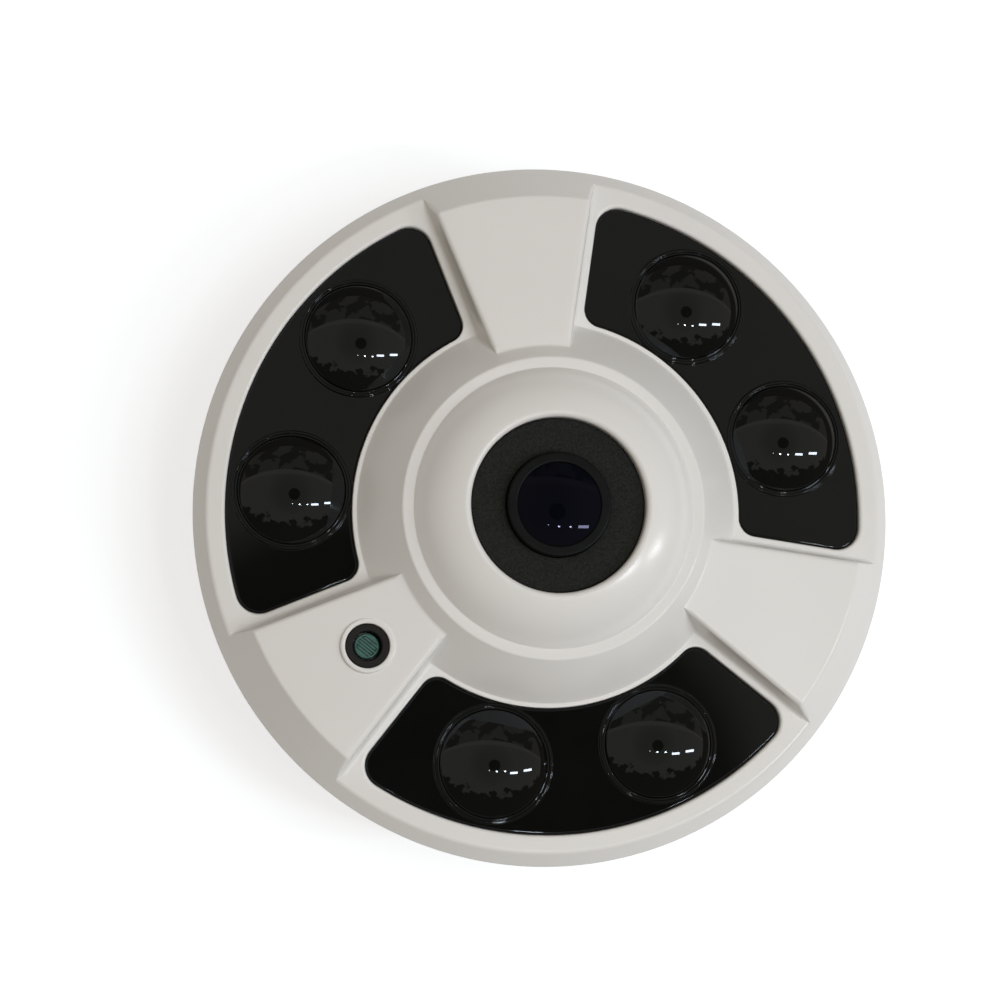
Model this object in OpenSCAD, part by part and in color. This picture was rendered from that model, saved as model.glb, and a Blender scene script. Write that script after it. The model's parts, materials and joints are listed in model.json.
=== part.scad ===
// Fisheye network camera for a ceiling, with three infrared lamp windows.
// The origin is the middle of the mounting plate's back, and +Z is the way the camera looks.

/* [Overall] */
// Diameter over the rim of the front cover
rim_d = 145; // [143:1:148]
// Height of the window frames above the ceiling
frame_z = 34; // [33:0.5:38]
// How far the rear shell's foot lies inside the rim
shell_inset = 9.5; // [8.5:0.5:10]
// Height of the front cover's skirt, from the window frames to the parting line
skirt_h = 8; // [7.6:0.1:9]
// Gap at the parting line
parting_gap = 0.3; // [0.2:0.1:0.5]

/* [Front cover] */
// Wall of the front cover
wall_t = 2.2; // [1.8:0.1:2.4]
// Thickness of the window frames
frame_t = 4.6; // [4.4:0.1:5]
// Width of the bevel between the window frames and the rim
bevel_w = 2.8; // [2.4:0.1:3]
// Slope of that bevel, in degrees
bevel_tilt = 45; // [42:1:47]
// Rounding of the rim below the bevel
rim_round = 1; // [0.8:0.1:1.4]
// How far the skirt leans in towards the parting line
skirt_lean = 0.5; // [0.3:0.1:0.8]
// Width of the cone round the nose
cone_w = 8.5; // [8:0.1:9]
// Width of the flat ring round the nose
land_w = 2.2; // [1.8:0.1:2.6]
// Width of the nose from its hole to the flat ring
nose_w = 10.9; // [10.4:0.1:11.4]
// Height of the flat ring above the window frames
land_h = 9.6; // [9.2:0.1:10]
// Height of the nose above the window frames
nose_h = 16.2; // [16:0.1:17]
// Radius of the nose's rounded flank
nose_round = 17; // [15:0.5:20]
// Rounding of the nose's inner lip
nose_lip = 1.8; // [1.4:0.1:2.2]
// Diameter of the hole in the nose
nose_hole_d = 35.4; // [34.8:0.2:36]
// Thickness of the floor in the nose
nose_floor_t = 1.8; // [1.5:0.1:2.1]

/* [Raised panels] */
// Angle that one raised panel covers
panel_sweep = 30; // [29:1:31]
// Rise of a panel's inner edge above the window frames
panel_rise_in = 6.5; // [6:0.1:7]
// Rise of a panel's outer edge above the window frames
panel_rise_out = 4.5; // [4:0.1:5]
// Rounding of the panels' outer edge
panel_round = 1; // [0.6:0.1:1.4]
// Draft of the panels' side walls, in degrees
panel_draft = 9.5; // [6:0.5:12]

/* [Lamp windows] */
// Width of the window frames between the windows and the bevel
frame_w = 3.7; // [3.4:0.1:4]
// Width of the window frames between the cone and the windows
frame_in_w = 0.9; // [0.8:0.1:1.2]
// Distance from a panel wall's foot to the window beside it
window_margin = 1.7; // [1.4:0.1:2]
// Corner radius of a window at its outer arc
window_corner_out = 4.8; // [4:0.2:6]
// Corner radius of a window at its inner arc
window_corner_in = 3.8; // [3:0.2:5]
// Thickness of a window plate
window_t = 2; // [1.6:0.1:2.2]
// Depth of a window plate below its frame
window_recess = 1; // [0.8:0.1:1.2]
// Gap round a window plate
window_gap = 0.15; // [0.1:0.05:0.3]
// Thickness of the seal under a window
window_seal_t = 0.3; // [0.2:0.1:0.4]
// Width of the ledge that carries a window
window_ledge = 2; // [1.6:0.1:2.2]

/* [Lamp domes] */
// How far the domes stand inwards from the middle of the windows
lamp_offset = 0.4; // [0:0.1:0.6]
// Angle between the two domes of a window
lamp_spread = 38; // [36:1:40]
// Distance from a dome's foot to the window's outer and inner arcs
dome_margin = 1.5; // [1.4:0.1:2]
// Height of a dome above the ring at its foot
dome_h = 4.1; // [3.6:0.1:4.6]
// Width of the ring at a dome's foot
dome_ring_w = 0.7; // [0.5:0.1:0.8]
// Height of the ring at a dome's foot
dome_ring_h = 0.5; // [0.3:0.1:0.8]
// Wall of a dome
dome_wall = 1.6; // [1.2:0.1:2]

/* [Lamps] */
// Thickness of the lamp board
lamp_board_t = 1.6; // [1:0.1:2]
// Side of a lamp's base
lamp_side = 7; // [6:0.5:8]
// Height of a lamp's base
lamp_base_h = 1.2; // [1:0.1:1.6]
// Diameter of a lamp's own lens
lamp_bead_d = 5; // [4:0.2:5.4]

/* [Light sensor] */
// Distance from the inner edge of a panel to the light sensor
sensor_inset = 13.2; // [12.6:0.2:13.8]
// Diameter of the hole over the light sensor
sensor_hole_d = 9; // [8.6:0.1:9.4]
// Width of the raised lip round that hole
sensor_lip_w = 1.2; // [1:0.1:1.4]
// Height of the raised lip round that hole
sensor_lip_h = 0.5; // [0.3:0.1:0.8]
// Wall of the sleeve round the light sensor
sleeve_wall = 1.15; // [0.9:0.05:1.3]
// Diameter of the light sensor's disc
cell_d = 5.1; // [4.6:0.1:5.4]
// Thickness of the light sensor's disc
cell_t = 2; // [1.6:0.1:2.4]
// Depth of the light sensor's face below the sleeve's mouth
cell_depth = 1.6; // [1.2:0.1:2]
// Diameter of the light sensor's leads
lead_d = 0.6; // [0.5:0.05:0.7]
// Distance between the light sensor's leads
lead_pitch = 2.54; // [2:0.02:3]

/* [Lens] */
// Diameter of the lens head
head_d = 21; // [20.6:0.1:22]
// Length of the lens head
head_l = 8.3; // [8:0.1:9]
// Diameter of the lens neck
neck_d = 16; // [15:0.2:17]
// Length of the lens neck
neck_l = 2.3; // [2:0.1:3]
// Diameter of the lens thread
thread_d = 12; // [11.6:0.1:12.4]
// Length of the lens thread
thread_l = 10.8; // [10.6:0.1:11.4]
// Diameter of the front glass
front_glass_d = 16.8; // [16.6:0.1:17.2]
// Radius of the front glass's outer curve
front_glass_curve = 24; // [20:0.5:30]
// Radius of the front glass's inner curve
front_glass_hollow = 7.4; // [7:0.1:8]
// Thickness of the front glass at its edge
front_glass_edge = 2.6; // [2.4:0.1:3]
// Diameter of the middle glass
middle_glass_d = 13; // [12.6:0.1:13.4]
// Thickness of the middle glass
middle_glass_t = 3.2; // [2.8:0.1:3.6]
// Diameter of the rear glass
rear_glass_d = 9.2; // [8.8:0.1:9.4]
// Thickness of the rear glass
rear_glass_t = 3.4; // [3:0.1:3.8]
// Clearance round each glass in the barrel
glass_gap = 0.05; // [0.03:0.01:0.08]
// Depth of the foam ring's face below the nose
foam_depth = 1.9; // [1.6:0.1:2.1]
// Thickness of the foam ring
foam_t = 4; // [3.6:0.1:4.4]
// Clearance inside and outside the foam ring
foam_gap = 0.1; // [0.05:0.05:0.3]
// Height of the lens head's rim above the foam ring
head_proud = 2; // [1.6:0.1:2.2]

/* [Lens holder] */
// Height of the lens holder over the filter unit
holder_h = 10; // [9.6:0.1:10.6]
// Thickness of the lens holder's foot plate
holder_plate_t = 1.2; // [1:0.1:1.6]
// Wall of the lens holder's tube
holder_wall = 2.4; // [2:0.1:2.8]
// Thickness of the lock ring on the lens thread
lock_ring_t = 2; // [1.6:0.1:2.2]
// Clearance of the lens thread in its holder
thread_gap = 0.05; // [0.03:0.01:0.08]

/* [Day and night filter] */
// Travel of the filter slide between day and night
filter_travel = 8; // [7.8:0.1:8.2]
// Swing of the actuator's arm, in degrees
arm_swing = 60; // [56:1:60]
// Side of each square filter glass
filter_side = 7; // [6.8:0.1:7.2]
// Thickness of each filter glass
filter_glass_t = 0.55; // [0.4:0.05:0.7]
// Thickness of the filter slide
slide_t = 1.6; // [1.4:0.1:1.8]
// Half width of the filter slide
slide_half_w = 4.6; // [4.4:0.1:4.8]
// Running clearance under and beside the filter slide
slide_gap = 0.1; // [0.08:0.01:0.14]
// Diameter of the crank pin
crank_pin_d = 1.6; // [1.4:0.1:1.8]
// Clearance of the crank pin in its slot
crank_pin_gap = 0.2; // [0.16:0.02:0.3]
// Diameter of the magnet
magnet_d = 6; // [5.6:0.1:6.2]
// Height of the magnet
magnet_h = 3.2; // [2.8:0.1:3.4]
// Diameter of the rotor's axle
axle_d = 1.2; // [1:0.1:1.4]
// Running clearance of the rotor on its axle
axle_gap = 0.05; // [0.03:0.01:0.08]
// Thickness of the actuator's arm
arm_t = 1; // [0.8:0.1:1.2]
// Height of the filter unit's base
unit_h = 6.2; // [6.1:0.1:6.6]
// Wall of the filter unit's base
unit_wall = 1.4; // [1.2:0.1:1.8]
// Diameter of the coil
coil_d = 5.2; // [4.8:0.1:5.4]
// Length of the coil
coil_l = 9; // [8:0.2:10]
// Thickness of the iron yoke
yoke_t = 1.2; // [1:0.1:1.4]

/* [Boards] */
// Gap between the main board and the posts of the cover screws
main_board_gap = 4.1; // [3:0.1:5]
// Thickness of the main board
main_board_t = 1.6; // [1.2:0.1:1.8]
// Height of the main board's spacers
main_spacer_h = 4; // [3.6:0.1:4.4]
// Distance of the main board's spacers from its edge
main_spacer_inset = 6.2; // [5:0.1:7]
// How far the sensor board stands out beside the filter unit
sensor_board_side = 5.4; // [5.2:0.1:6]
// How far the sensor board stands out at each end of the filter unit
sensor_board_end = 5.1; // [5:0.1:5.6]
// Thickness of the sensor board
sensor_board_t = 1.2; // [1:0.1:1.4]
// Distance across the flats of a spacer
spacer_af = 5; // [4.6:0.1:5.2]
// Side of the image sensor
imager_side = 8.4; // [8:0.1:8.8]
// Height of the image sensor
imager_h = 1.1; // [0.9:0.1:1.2]

/* [Rear shell] */
// Wall of the rear shell
shell_wall = 2.4; // [2.2:0.1:2.6]
// Height of the underside of the rear shell's floor above the ceiling
floor_z = 7; // [6.8:0.1:7.4]
// Thickness of the rear shell's floor
floor_t = 2.5; // [2.2:0.1:2.8]
// Gap between the rear shell's rim and the ceiling
ceiling_gap = 0.6; // [0.4:0.1:0.8]
// Radius of the rear shell's curved side
shell_curve = 60; // [50:1:80]
// Height of the spigot that enters the front cover
spigot_h = 3.3; // [3:0.1:3.3]
// Clearance of that spigot in the front cover
spigot_gap = 0.15; // [0.1:0.05:0.2]
// Thickness of the seal cord between cover and shell
seal_d = 1.2; // [1:0.1:1.3]
// Distance from the rim to the cover screws
cover_screw_inset = 14.5; // [14:0.1:15]
// Height of the bosses for the cover screws
cover_boss_h = 2.4; // [2:0.1:3]
// Width of the notch for a cable that leaves sideways
notch_w = 10; // [8:0.5:12]
// Height of that notch's top above the ceiling
notch_h = 6; // [5.4:0.1:6.4]

/* [Cable entry] */
// Diameter of the bore in the cable grommet
grommet_bore_d = 6.2; // [5.6:0.1:7]
// Diameter of the grommet's neck
grommet_neck_d = 18; // [16:0.5:20]
// Width of the grommet's flanges beyond its neck
grommet_flange_w = 2; // [1.5:0.1:3]
// Thickness of each grommet flange
grommet_flange_t = 1.6; // [1.2:0.1:1.8]

/* [Mounting plate] */
// Gap between the mounting plate and the rear shell's wall
plate_gap = 4.6; // [4:0.1:5]
// Thickness of the mounting plate
plate_t = 1.5; // [1.2:0.1:1.5]
// Height of the plate's raised middle above the ceiling
plate_rise = 3; // [2.9:0.1:3.2]
// Width of the plate's flat rim and of the slope behind it
plate_rim_w = 12; // [11:0.5:13]
// Diameter of the cable hole in the plate
plate_hole_d = 32; // [28:1:36]
// Distance from the plate's edge to the ceiling screw holes
ceiling_screw_inset = 5; // [4.5:0.1:5.5]
// Diameter of each ceiling screw hole
ceiling_screw_d = 4.6; // [4.2:0.1:5]
// Distance from the edge of the plate's raised middle to the bayonet studs
stud_inset = 8; // [7.5:0.5:9]
// Diameter of a stud's shank
stud_d = 4.4; // [4:0.1:4.8]
// Diameter of a stud's head
stud_head_d = 8.4; // [8:0.1:8.8]
// Thickness of a stud's head
stud_head_t = 1.5; // [1.3:0.1:1.7]
// Clearance of a stud in its keyhole
stud_gap = 0.3; // [0.2:0.05:0.4]
// Twist from locked to open, in degrees
twist = 18; // [16:1:20]

/* [Screws] */
// Shank diameter of the cover screws and of the locking screw
big_screw_d = 3; // [2.6:0.1:3.2]
// Shank diameter of the board screws
board_screw_d = 2; // [1.8:0.1:2.2]
// Clearance round a screw in its hole
screw_gap = 0.1; // [0.05:0.05:0.2]

/* [Hidden] */
$fn = 96;
cut_over = 1;
full_turn = 360;
window_count = 3;
window_step = full_turn / window_count;
window_angles = [30, 150, 270];
panel_angles = [90, 210, 330];
sensor_angle = panel_angles[1];
window_half = (window_step - panel_sweep) / 2;
corner_reach_share = 1.5;
corner_overlap = 0.005;
screw_head_shares = [1.9, 0.7];
socket_shares = [0.5, 0.55];

// a corner b between a and c, rounded with radius r: middle of the arc, and its two ends
function unit(v) = v / norm(v);
function half_angle(a, b, c) = acos(unit(a - b) * unit(c - b)) / 2;
function round_reach(a, b, c, r) = r / tan(half_angle(a, b, c));
function round_c(a, b, c, r) = b + r / sin(half_angle(a, b, c)) * unit(unit(a - b) + unit(c - b));
function round_from(a, b, c, r) = b + round_reach(a, b, c, r) * unit(a - b);
function round_to(a, b, c, r) = round_from(c, b, a, r);

// front cover
rim_r = rim_d / 2;
frame_edge_r = rim_r - bevel_w;
parting_z = frame_z - skirt_h;
frame_under_z = frame_z - frame_t;
skirt_in_r = rim_r - skirt_lean - wall_t;
land_z = frame_z + land_h;
nose_z = frame_z + nose_h;
nose_hole_r = nose_hole_d / 2;
land_in_r = nose_hole_r + nose_w;
land_out_r = land_in_r + land_w;
cone_foot_r = land_out_r + cone_w;
nose_floor_z = nose_z - foam_depth - foam_t;
nose_floor_under_z = nose_floor_z - nose_floor_t;
barrel_hole_gap = 1.25;
barrel_hole_r = head_d / 2 + barrel_hole_gap;
cone_lean = (cone_foot_r - land_out_r) / land_h;
function cone_r(z, inset = 0) =
    cone_foot_r - inset * sqrt(1 + cone_lean * cone_lean) - (z - frame_z) * cone_lean;

// rim: the skirt's foot, the corner above it and the window frames' edge
skirt_foot = [rim_r - skirt_lean, parting_z];
frame_edge = [frame_edge_r, frame_z];
rim_corner = [rim_r, frame_z - bevel_w * tan(bevel_tilt)];

// circle of the nose's flank: it passes the ring's inner edge and touches the lip's circle
nose_lip_c = [nose_hole_r + nose_lip, nose_z - nose_lip];
nose_foot = [land_in_r, land_z];
nose_chord = norm(nose_lip_c - nose_foot);
nose_dir = (nose_lip_c - nose_foot) / nose_chord;
nose_along = (nose_round ^ 2 - (nose_round - nose_lip) ^ 2 + nose_chord ^ 2) / (2 * nose_chord);
nose_aside = sqrt(nose_round ^ 2 - nose_along ^ 2);
nose_c = nose_foot + nose_along * nose_dir + nose_aside * [-nose_dir[1], nose_dir[0]];
nose_touch_dir = (nose_lip_c - nose_c) / norm(nose_lip_c - nose_c);

// raised panels
panel_r = frame_edge_r - panel_rise_out / tan(bevel_tilt);
panel_in_r = cone_r(frame_z + panel_rise_in);
panel_fall = (panel_rise_in - panel_rise_out) / (panel_r - panel_in_r);
function panel_top(r) = frame_z + panel_rise_in - (r - panel_in_r) * panel_fall;
core_in_r = cone_foot_r + wall_t / 2;
core_out_r = panel_r - wall_t;

// windows and domes
window_out_r = frame_edge_r - frame_w;
window_in_r = cone_foot_r + frame_in_w;
window_top_z = frame_z - window_recess;
window_under_z = window_top_z - window_t;
ledge_z = window_under_z - window_seal_t;
lamp_r = (window_out_r + window_in_r) / 2 - lamp_offset;
lamp_tilt = lamp_spread / 2;
dome_r = (window_out_r - window_in_r) / 2 - dome_margin;
dome_ring_r = dome_r + dome_ring_w;
dome_curve = (dome_r ^ 2 + dome_h ^ 2) / (2 * dome_h);
dome_base_z = window_top_z + dome_ring_h;
dome_c_z = dome_base_z + dome_h - dome_curve;
dome_hole_r = dome_r - dome_wall;
function lamp_angle(i) = window_angles[floor(i / 2)] + (i % 2 == 0 ? -lamp_tilt : lamp_tilt);

// lamp board
lamp_board_under_z = frame_under_z - lamp_board_t;
lamp_board_gap = 1.8;
lamp_board_in_r = cone_r(frame_z, wall_t) + lamp_board_gap / 2;
lamp_board_out_r = skirt_in_r - spigot_gap - shell_wall - lamp_board_gap / 2;
lamp_screw_r = (cone_r(frame_z, wall_t) + window_in_r) / 2;
lamp_screw_spread = 22;
lamp_screw_l = 4.6;

// light sensor
sensor_r = panel_in_r + sensor_inset;
sensor_hole_r = sensor_hole_d / 2;
sleeve_r = sensor_hole_r - screw_gap;
sleeve_in_r = sleeve_r - sleeve_wall;
sleeve_flange_w = 1.1;
sleeve_flange_t = 1.2;
sleeve_tail = 1.5;
sleeve_top_z = panel_top(sensor_r);
sensor_roof_z = panel_top(sensor_r + sensor_hole_r + sleeve_flange_w) - wall_t;
cell_face_z = sleeve_top_z - cell_depth;

// lens
lens_top_z = nose_z - foam_depth + head_proud;
head_r = head_d / 2;
head_z = lens_top_z - head_l;
neck_r = neck_d / 2;
neck_z = head_z - neck_l;
thread_r = thread_d / 2;
thread_z = neck_z - thread_l;
front_glass_r = front_glass_d / 2;
head_rim = 0.3;
front_seat_z = lens_top_z - front_glass_edge - head_rim;
middle_glass_r = middle_glass_d / 2;
rear_glass_r = rear_glass_d / 2;
rear_ring_t = 1.2;
rear_ring_inset = 0.6;
rear_seat_z = thread_z + rear_glass_t + rear_ring_t + rear_ring_inset;
rear_ring_w = 1;
light_path_r = 4;
head_edge = 0.5;

// lens holder and filter unit, stacked under the lens
lock_ring_gap = 0.2;
lock_ring_z = neck_z - lock_ring_gap - lock_ring_t;
holder_z = lock_ring_z - holder_h;
unit_z = holder_z - unit_h;
holder_bore_r = thread_r + thread_gap;
holder_r = holder_bore_r + holder_wall;
crank_r = filter_travel / 2 / sin(arm_swing / 2);
unit_floor_t = 2.9;
slide_z = unit_z + unit_floor_t + slide_gap;
slide_rim = 1.3;
slide_end = filter_side / 2 + slide_rim;
slide_low_x = -filter_travel - slide_end;
slide_high_x = slide_end;
end_gap = 0.4;
cavity_x = filter_travel + slide_end + end_gap;
cavity_y = slide_half_w + slide_gap;
arm_gap = 0.2;
arm_z = slide_z + slide_t + arm_gap;
pin_r = crank_pin_d / 2;
slot_half = pin_r + crank_pin_gap;
ear_wall = 1.2;
ear_half = slot_half + ear_wall;
pin_low_y = slide_half_w + pin_r + ear_wall;
rotor_y = pin_low_y + crank_r;
pin_high_y = rotor_y - crank_r * cos(arm_swing / 2);
ear_y = pin_high_y + slot_half + ear_wall;
ear_x = -filter_travel / 2;
axle_r = axle_d / 2;
magnet_r = magnet_d / 2;
magnet_gap = 0.3;
rotor_hub_r = 2.2;
rotor_floor_t = 0.9;
magnet_z = arm_z - magnet_h;
yoke_gap = 0.4;
yoke_in_x = magnet_r + yoke_gap;
yoke_h = 2.4;
coil_r = coil_d / 2;
coil_gap = 1.6;
coil_y = rotor_y + magnet_r + coil_gap + coil_r;
coil_z = unit_z + unit_h / 2;
coil_cheek_t = 0.8;
coil_cheek_w = 0.4;
screw_strip = 5;
unit_low_y = -cavity_y - screw_strip;
unit_high_y = coil_y + coil_r + coil_cheek_w + unit_wall;
unit_x = cavity_x + unit_wall;
unit_screw_x = cavity_x - board_screw_d;
unit_screw_low_y = -cavity_y - screw_strip / 2;
unit_screw_high_y = rotor_y;
imager_gap = 0.4;
imager_pocket_h = imager_h + imager_gap;

// boards
floor_top_z = floor_z + floor_t;
main_board_z = floor_top_z + main_spacer_h;
main_board_top_z = main_board_z + main_board_t;
sensor_board_z = unit_z - sensor_board_t;
sensor_spacer_h = sensor_board_z - main_board_top_z;
sensor_board_y = (unit_low_y + unit_high_y) / 2;
spacer_edge = 3;
sensor_board_w = 2 * (unit_x + sensor_board_side);
sensor_board_l = unit_high_y - unit_low_y + 2 * sensor_board_end;
sensor_spacer_x = sensor_board_w / 2 - spacer_edge;
sensor_spacer_y = sensor_board_l / 2 - spacer_edge;
spacer_r = spacer_af / 2 / cos(30);
board_screw_r = board_screw_d / 2;
spacer_screw_l = main_spacer_h - screw_gap;

// rear shell
shell_top_z = parting_z - parting_gap;
shell_top_r = rim_r - skirt_lean - parting_gap;
shell_base_r = rim_r - shell_inset;
shell_top = [shell_top_r, shell_top_z];
shell_foot = [shell_base_r, ceiling_gap];
shell_chord = norm(shell_top - shell_foot);
shell_dir = (shell_top - shell_foot) / shell_chord;
shell_c = (shell_top + shell_foot) / 2
    + sqrt(shell_curve ^ 2 - (shell_chord / 2) ^ 2) * [-shell_dir[1], shell_dir[0]];
spigot_r = skirt_in_r - spigot_gap;
spigot_in_r = spigot_r - shell_wall;
spigot_root = 3;
seal_r = seal_d / 2;
seal_gap = 0.05;
seal_c_r = skirt_in_r - seal_gap - seal_r;
seal_z = shell_top_z + spigot_h / 2;
cover_screw_r = rim_r - cover_screw_inset;
big_screw_r = big_screw_d / 2;
cover_boss_r = big_screw_r + shell_wall;
cover_post_r = cover_boss_r;
cover_boss_top_z = floor_top_z + cover_boss_h;
screw_bite = 8;
screw_hollow = 1.2;
lock_screw_z = 4;
lock_screw_l = 5;
lock_screw_gap = 0.18;
lock_boss_r = big_screw_r + wall_t;

// grommet, plate and studs
grommet_neck_r = grommet_neck_d / 2;
grommet_r = grommet_neck_r + grommet_flange_w;
grommet_bore_r = grommet_bore_d / 2;
grommet_low_z = floor_z - grommet_flange_t;
board_hole_gap = 3;
board_hole_r = grommet_bore_r + board_hole_gap;
plate_r = shell_base_r - shell_wall - plate_gap;
plate_middle_r = plate_r - plate_rim_w;
lock_screw_tip_r = plate_r + lock_screw_gap;
plate_slope_w = 2;
plate_top_z = plate_rise + plate_t;
plate_hole_r = plate_hole_d / 2;
ceiling_screw_r = ceiling_screw_d / 2;
ceiling_screw_circle_r = plate_r - ceiling_screw_inset;
tab_w = 1.5;
tab_sweep = 14;
tab_inset = 0.6;
tab_top_gap = 0.8;
stud_circle_r = plate_middle_r - stud_inset;
stud_r = stud_d / 2;
stud_head_r = stud_head_d / 2;
stud_lift = 0.2;
stud_head_z = plate_rise - stud_lift - stud_head_t;
stud_collar_r = 4;
stud_rivet_r = 1.8;

// main board, and the parts on it
main_board_r = cover_screw_r - cover_post_r - main_board_gap;
main_spacer_x = (main_board_r - main_spacer_inset) * sin(45);
chip_gap = 8;
chip_side = 14;
chip_y = -grommet_r - chip_gap - chip_side / 2;
chip_h = 1.4;
memory_w = 9;
memory_l = 13;
memory_h = 1.1;
memory_pitch = 24;
transformer_w = 13;
transformer_l = 16;
transformer_h = 6.5;
transformer_inset = 16;
transformer_x = transformer_inset - main_board_r;
capacitor_r = 3;
capacitor_h = 7;
capacitor_pitch = 7.6;
capacitor_inset = 16;
capacitor_x = main_board_r - capacitor_inset;
socket_w = 12;
socket_l = 5;
socket_h = 5;
socket_inset = 12;
socket_y = socket_inset - main_board_r;
socket_pitch = 16;
memory_gap = 3;
memory_y = socket_y + socket_l / 2 + memory_gap + memory_l / 2;
socket_wall = 0.8;

// Repeated shapes

// A tube standing on z
module tube(z, h, r, r_in) {
    translate([0, 0, z])
        difference() {
            cylinder(h = h, r = r);
            translate([0, 0, -cut_over]) cylinder(h = h + 2 * cut_over, r = r_in);
        }
}

// A block with its middle at [x, y], standing on z
module block(x, y, z, w, l, h) {
    translate([x - w / 2, y - l / 2, z]) cube([w, l, h]);
}

// A pan head screw: shank of length l down from z, head up from z, with a cross in it
module pan_screw(z, r, l) {
    head_r = r * screw_head_shares[0];
    head_h = 2 * r * screw_head_shares[1];
    slot_w = r * socket_shares[0];
    slot_d = head_h * socket_shares[1];
    difference() {
        union() {
            translate([0, 0, z - l]) cylinder(h = l, r = r);
            translate([0, 0, z]) cylinder(h = head_h, r1 = head_r, r2 = head_r - r / 2);
        }
        for (a = [0, 90])
            rotate(a) block(0, 0, z + head_h - slot_d, 2 * r, slot_w, slot_d + cut_over);
    }
}

// A copy at each angle of a list
module at_angles(angles) {
    for (a = angles) rotate(a) children();
}

// A copy at each corner of a rectangle round [0, y]
module at_corners(x, y, half_l) {
    for (sx = [-1, 1], sy = [-1, 1]) translate([sx * x, y + sy * half_l, 0]) children();
}

// Outline of one window round the X axis, widened by grow all round
module window_outline(grow = 0) {
    r_out = window_out_r + grow;
    r_in = window_in_r - grow;
    side = window_margin - grow;
    round_out = window_corner_out + grow;
    round_in = window_corner_in + grow;
    c_out = [sqrt((r_out - round_out) ^ 2 - (side + round_out) ^ 2), -side - round_out];
    c_in = [sqrt((r_in + round_in) ^ 2 - (side + round_in) ^ 2), -side - round_in];
    difference() {
        circle(r_out);
        circle(r_in);
        for (s = [0, 1])
            mirror([0, s]) rotate(window_half) {
                translate([-2 * r_out, -side]) square([4 * r_out, 2 * r_out]);
                window_corner(c_out, round_out, c_out * r_out / (r_out - round_out));
                window_corner(c_in, round_in, c_in * r_in / (r_in + round_in));
            }
    }
    for (s = [0, 1])
        mirror([0, s]) rotate(window_half) {
            translate(c_out) circle(round_out + corner_overlap);
            translate(c_in) circle(round_in + corner_overlap);
        }
}

// Kite that takes a sharp corner away: centre of its circle, radius, and touching point on the arc
module window_corner(c, r, touch) {
    side_touch = c + [0, r];
    far = c + corner_reach_share * (side_touch + touch - 2 * c);
    polygon([c, side_touch, far, touch]);
}

// Space between the two side walls of the panel on the X axis, shrunk by inset
module panel_wedge(inset = 0) {
    intersection_for (s = [0, 1])
        mirror([0, s]) translate([0, 0, frame_z]) rotate([0, 0, panel_sweep / 2])
            rotate([panel_draft, 0, 0]) translate([0, -rim_d - inset, -rim_r]) cube([rim_d, rim_d, rim_d]);
}

// Mounting side

// Pressed steel plate with three keyholes and three ceiling screw holes
module mounting_plate() {
    color("silver") difference() {
        union() {
            rotate_extrude() polygon([
                [plate_hole_r, plate_rise], [plate_middle_r, plate_rise],
                [plate_middle_r + plate_slope_w, 0], [plate_r, 0], [plate_r, plate_t],
                [plate_middle_r + plate_slope_w, plate_t], [plate_middle_r, plate_top_z],
                [plate_hole_r, plate_top_z]
            ]);
            // bent lug behind the locking screw
            rotate(-tab_sweep / 2) rotate_extrude(angle = tab_sweep)
                translate([plate_r - tab_inset - tab_w, 0])
                    square([tab_w, floor_z - tab_top_gap]);
        }
        at_angles(window_angles) keyhole();
        at_angles(panel_angles) translate([ceiling_screw_circle_r, 0, -cut_over])
            cylinder(h = plate_t + 2 * cut_over, r = ceiling_screw_r);
    }
}

// Arc slot for a stud's shank that ends in a hole for its head
module keyhole() {
    shank = stud_r + stud_gap;
    translate([0, 0, plate_rise - cut_over]) {
        rotate_extrude(angle = twist) translate([stud_circle_r - shank, 0])
            square([2 * shank, plate_t + 2 * cut_over]);
        translate([stud_circle_r, 0, 0]) cylinder(h = plate_t + 2 * cut_over, r = shank);
        rotate(twist) translate([stud_circle_r, 0, 0])
            cylinder(h = plate_t + 2 * cut_over, r = stud_head_r + stud_gap);
    }
}

// Shouldered studs riveted into the rear shell's floor
module bayonet_studs() {
    color("gainsboro") at_angles(window_angles) translate([stud_circle_r, 0, 0]) {
        translate([0, 0, stud_head_z]) cylinder(h = stud_head_t, r = stud_head_r);
        translate([0, 0, stud_head_z]) cylinder(h = floor_z - stud_head_z, r = stud_r);
        translate([0, 0, plate_top_z + stud_lift])
            cylinder(h = floor_z - plate_top_z - stud_lift, r = stud_collar_r);
        translate([0, 0, floor_z - stud_lift]) cylinder(h = floor_t + stud_lift, r = stud_rivet_r);
    }
}

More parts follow.
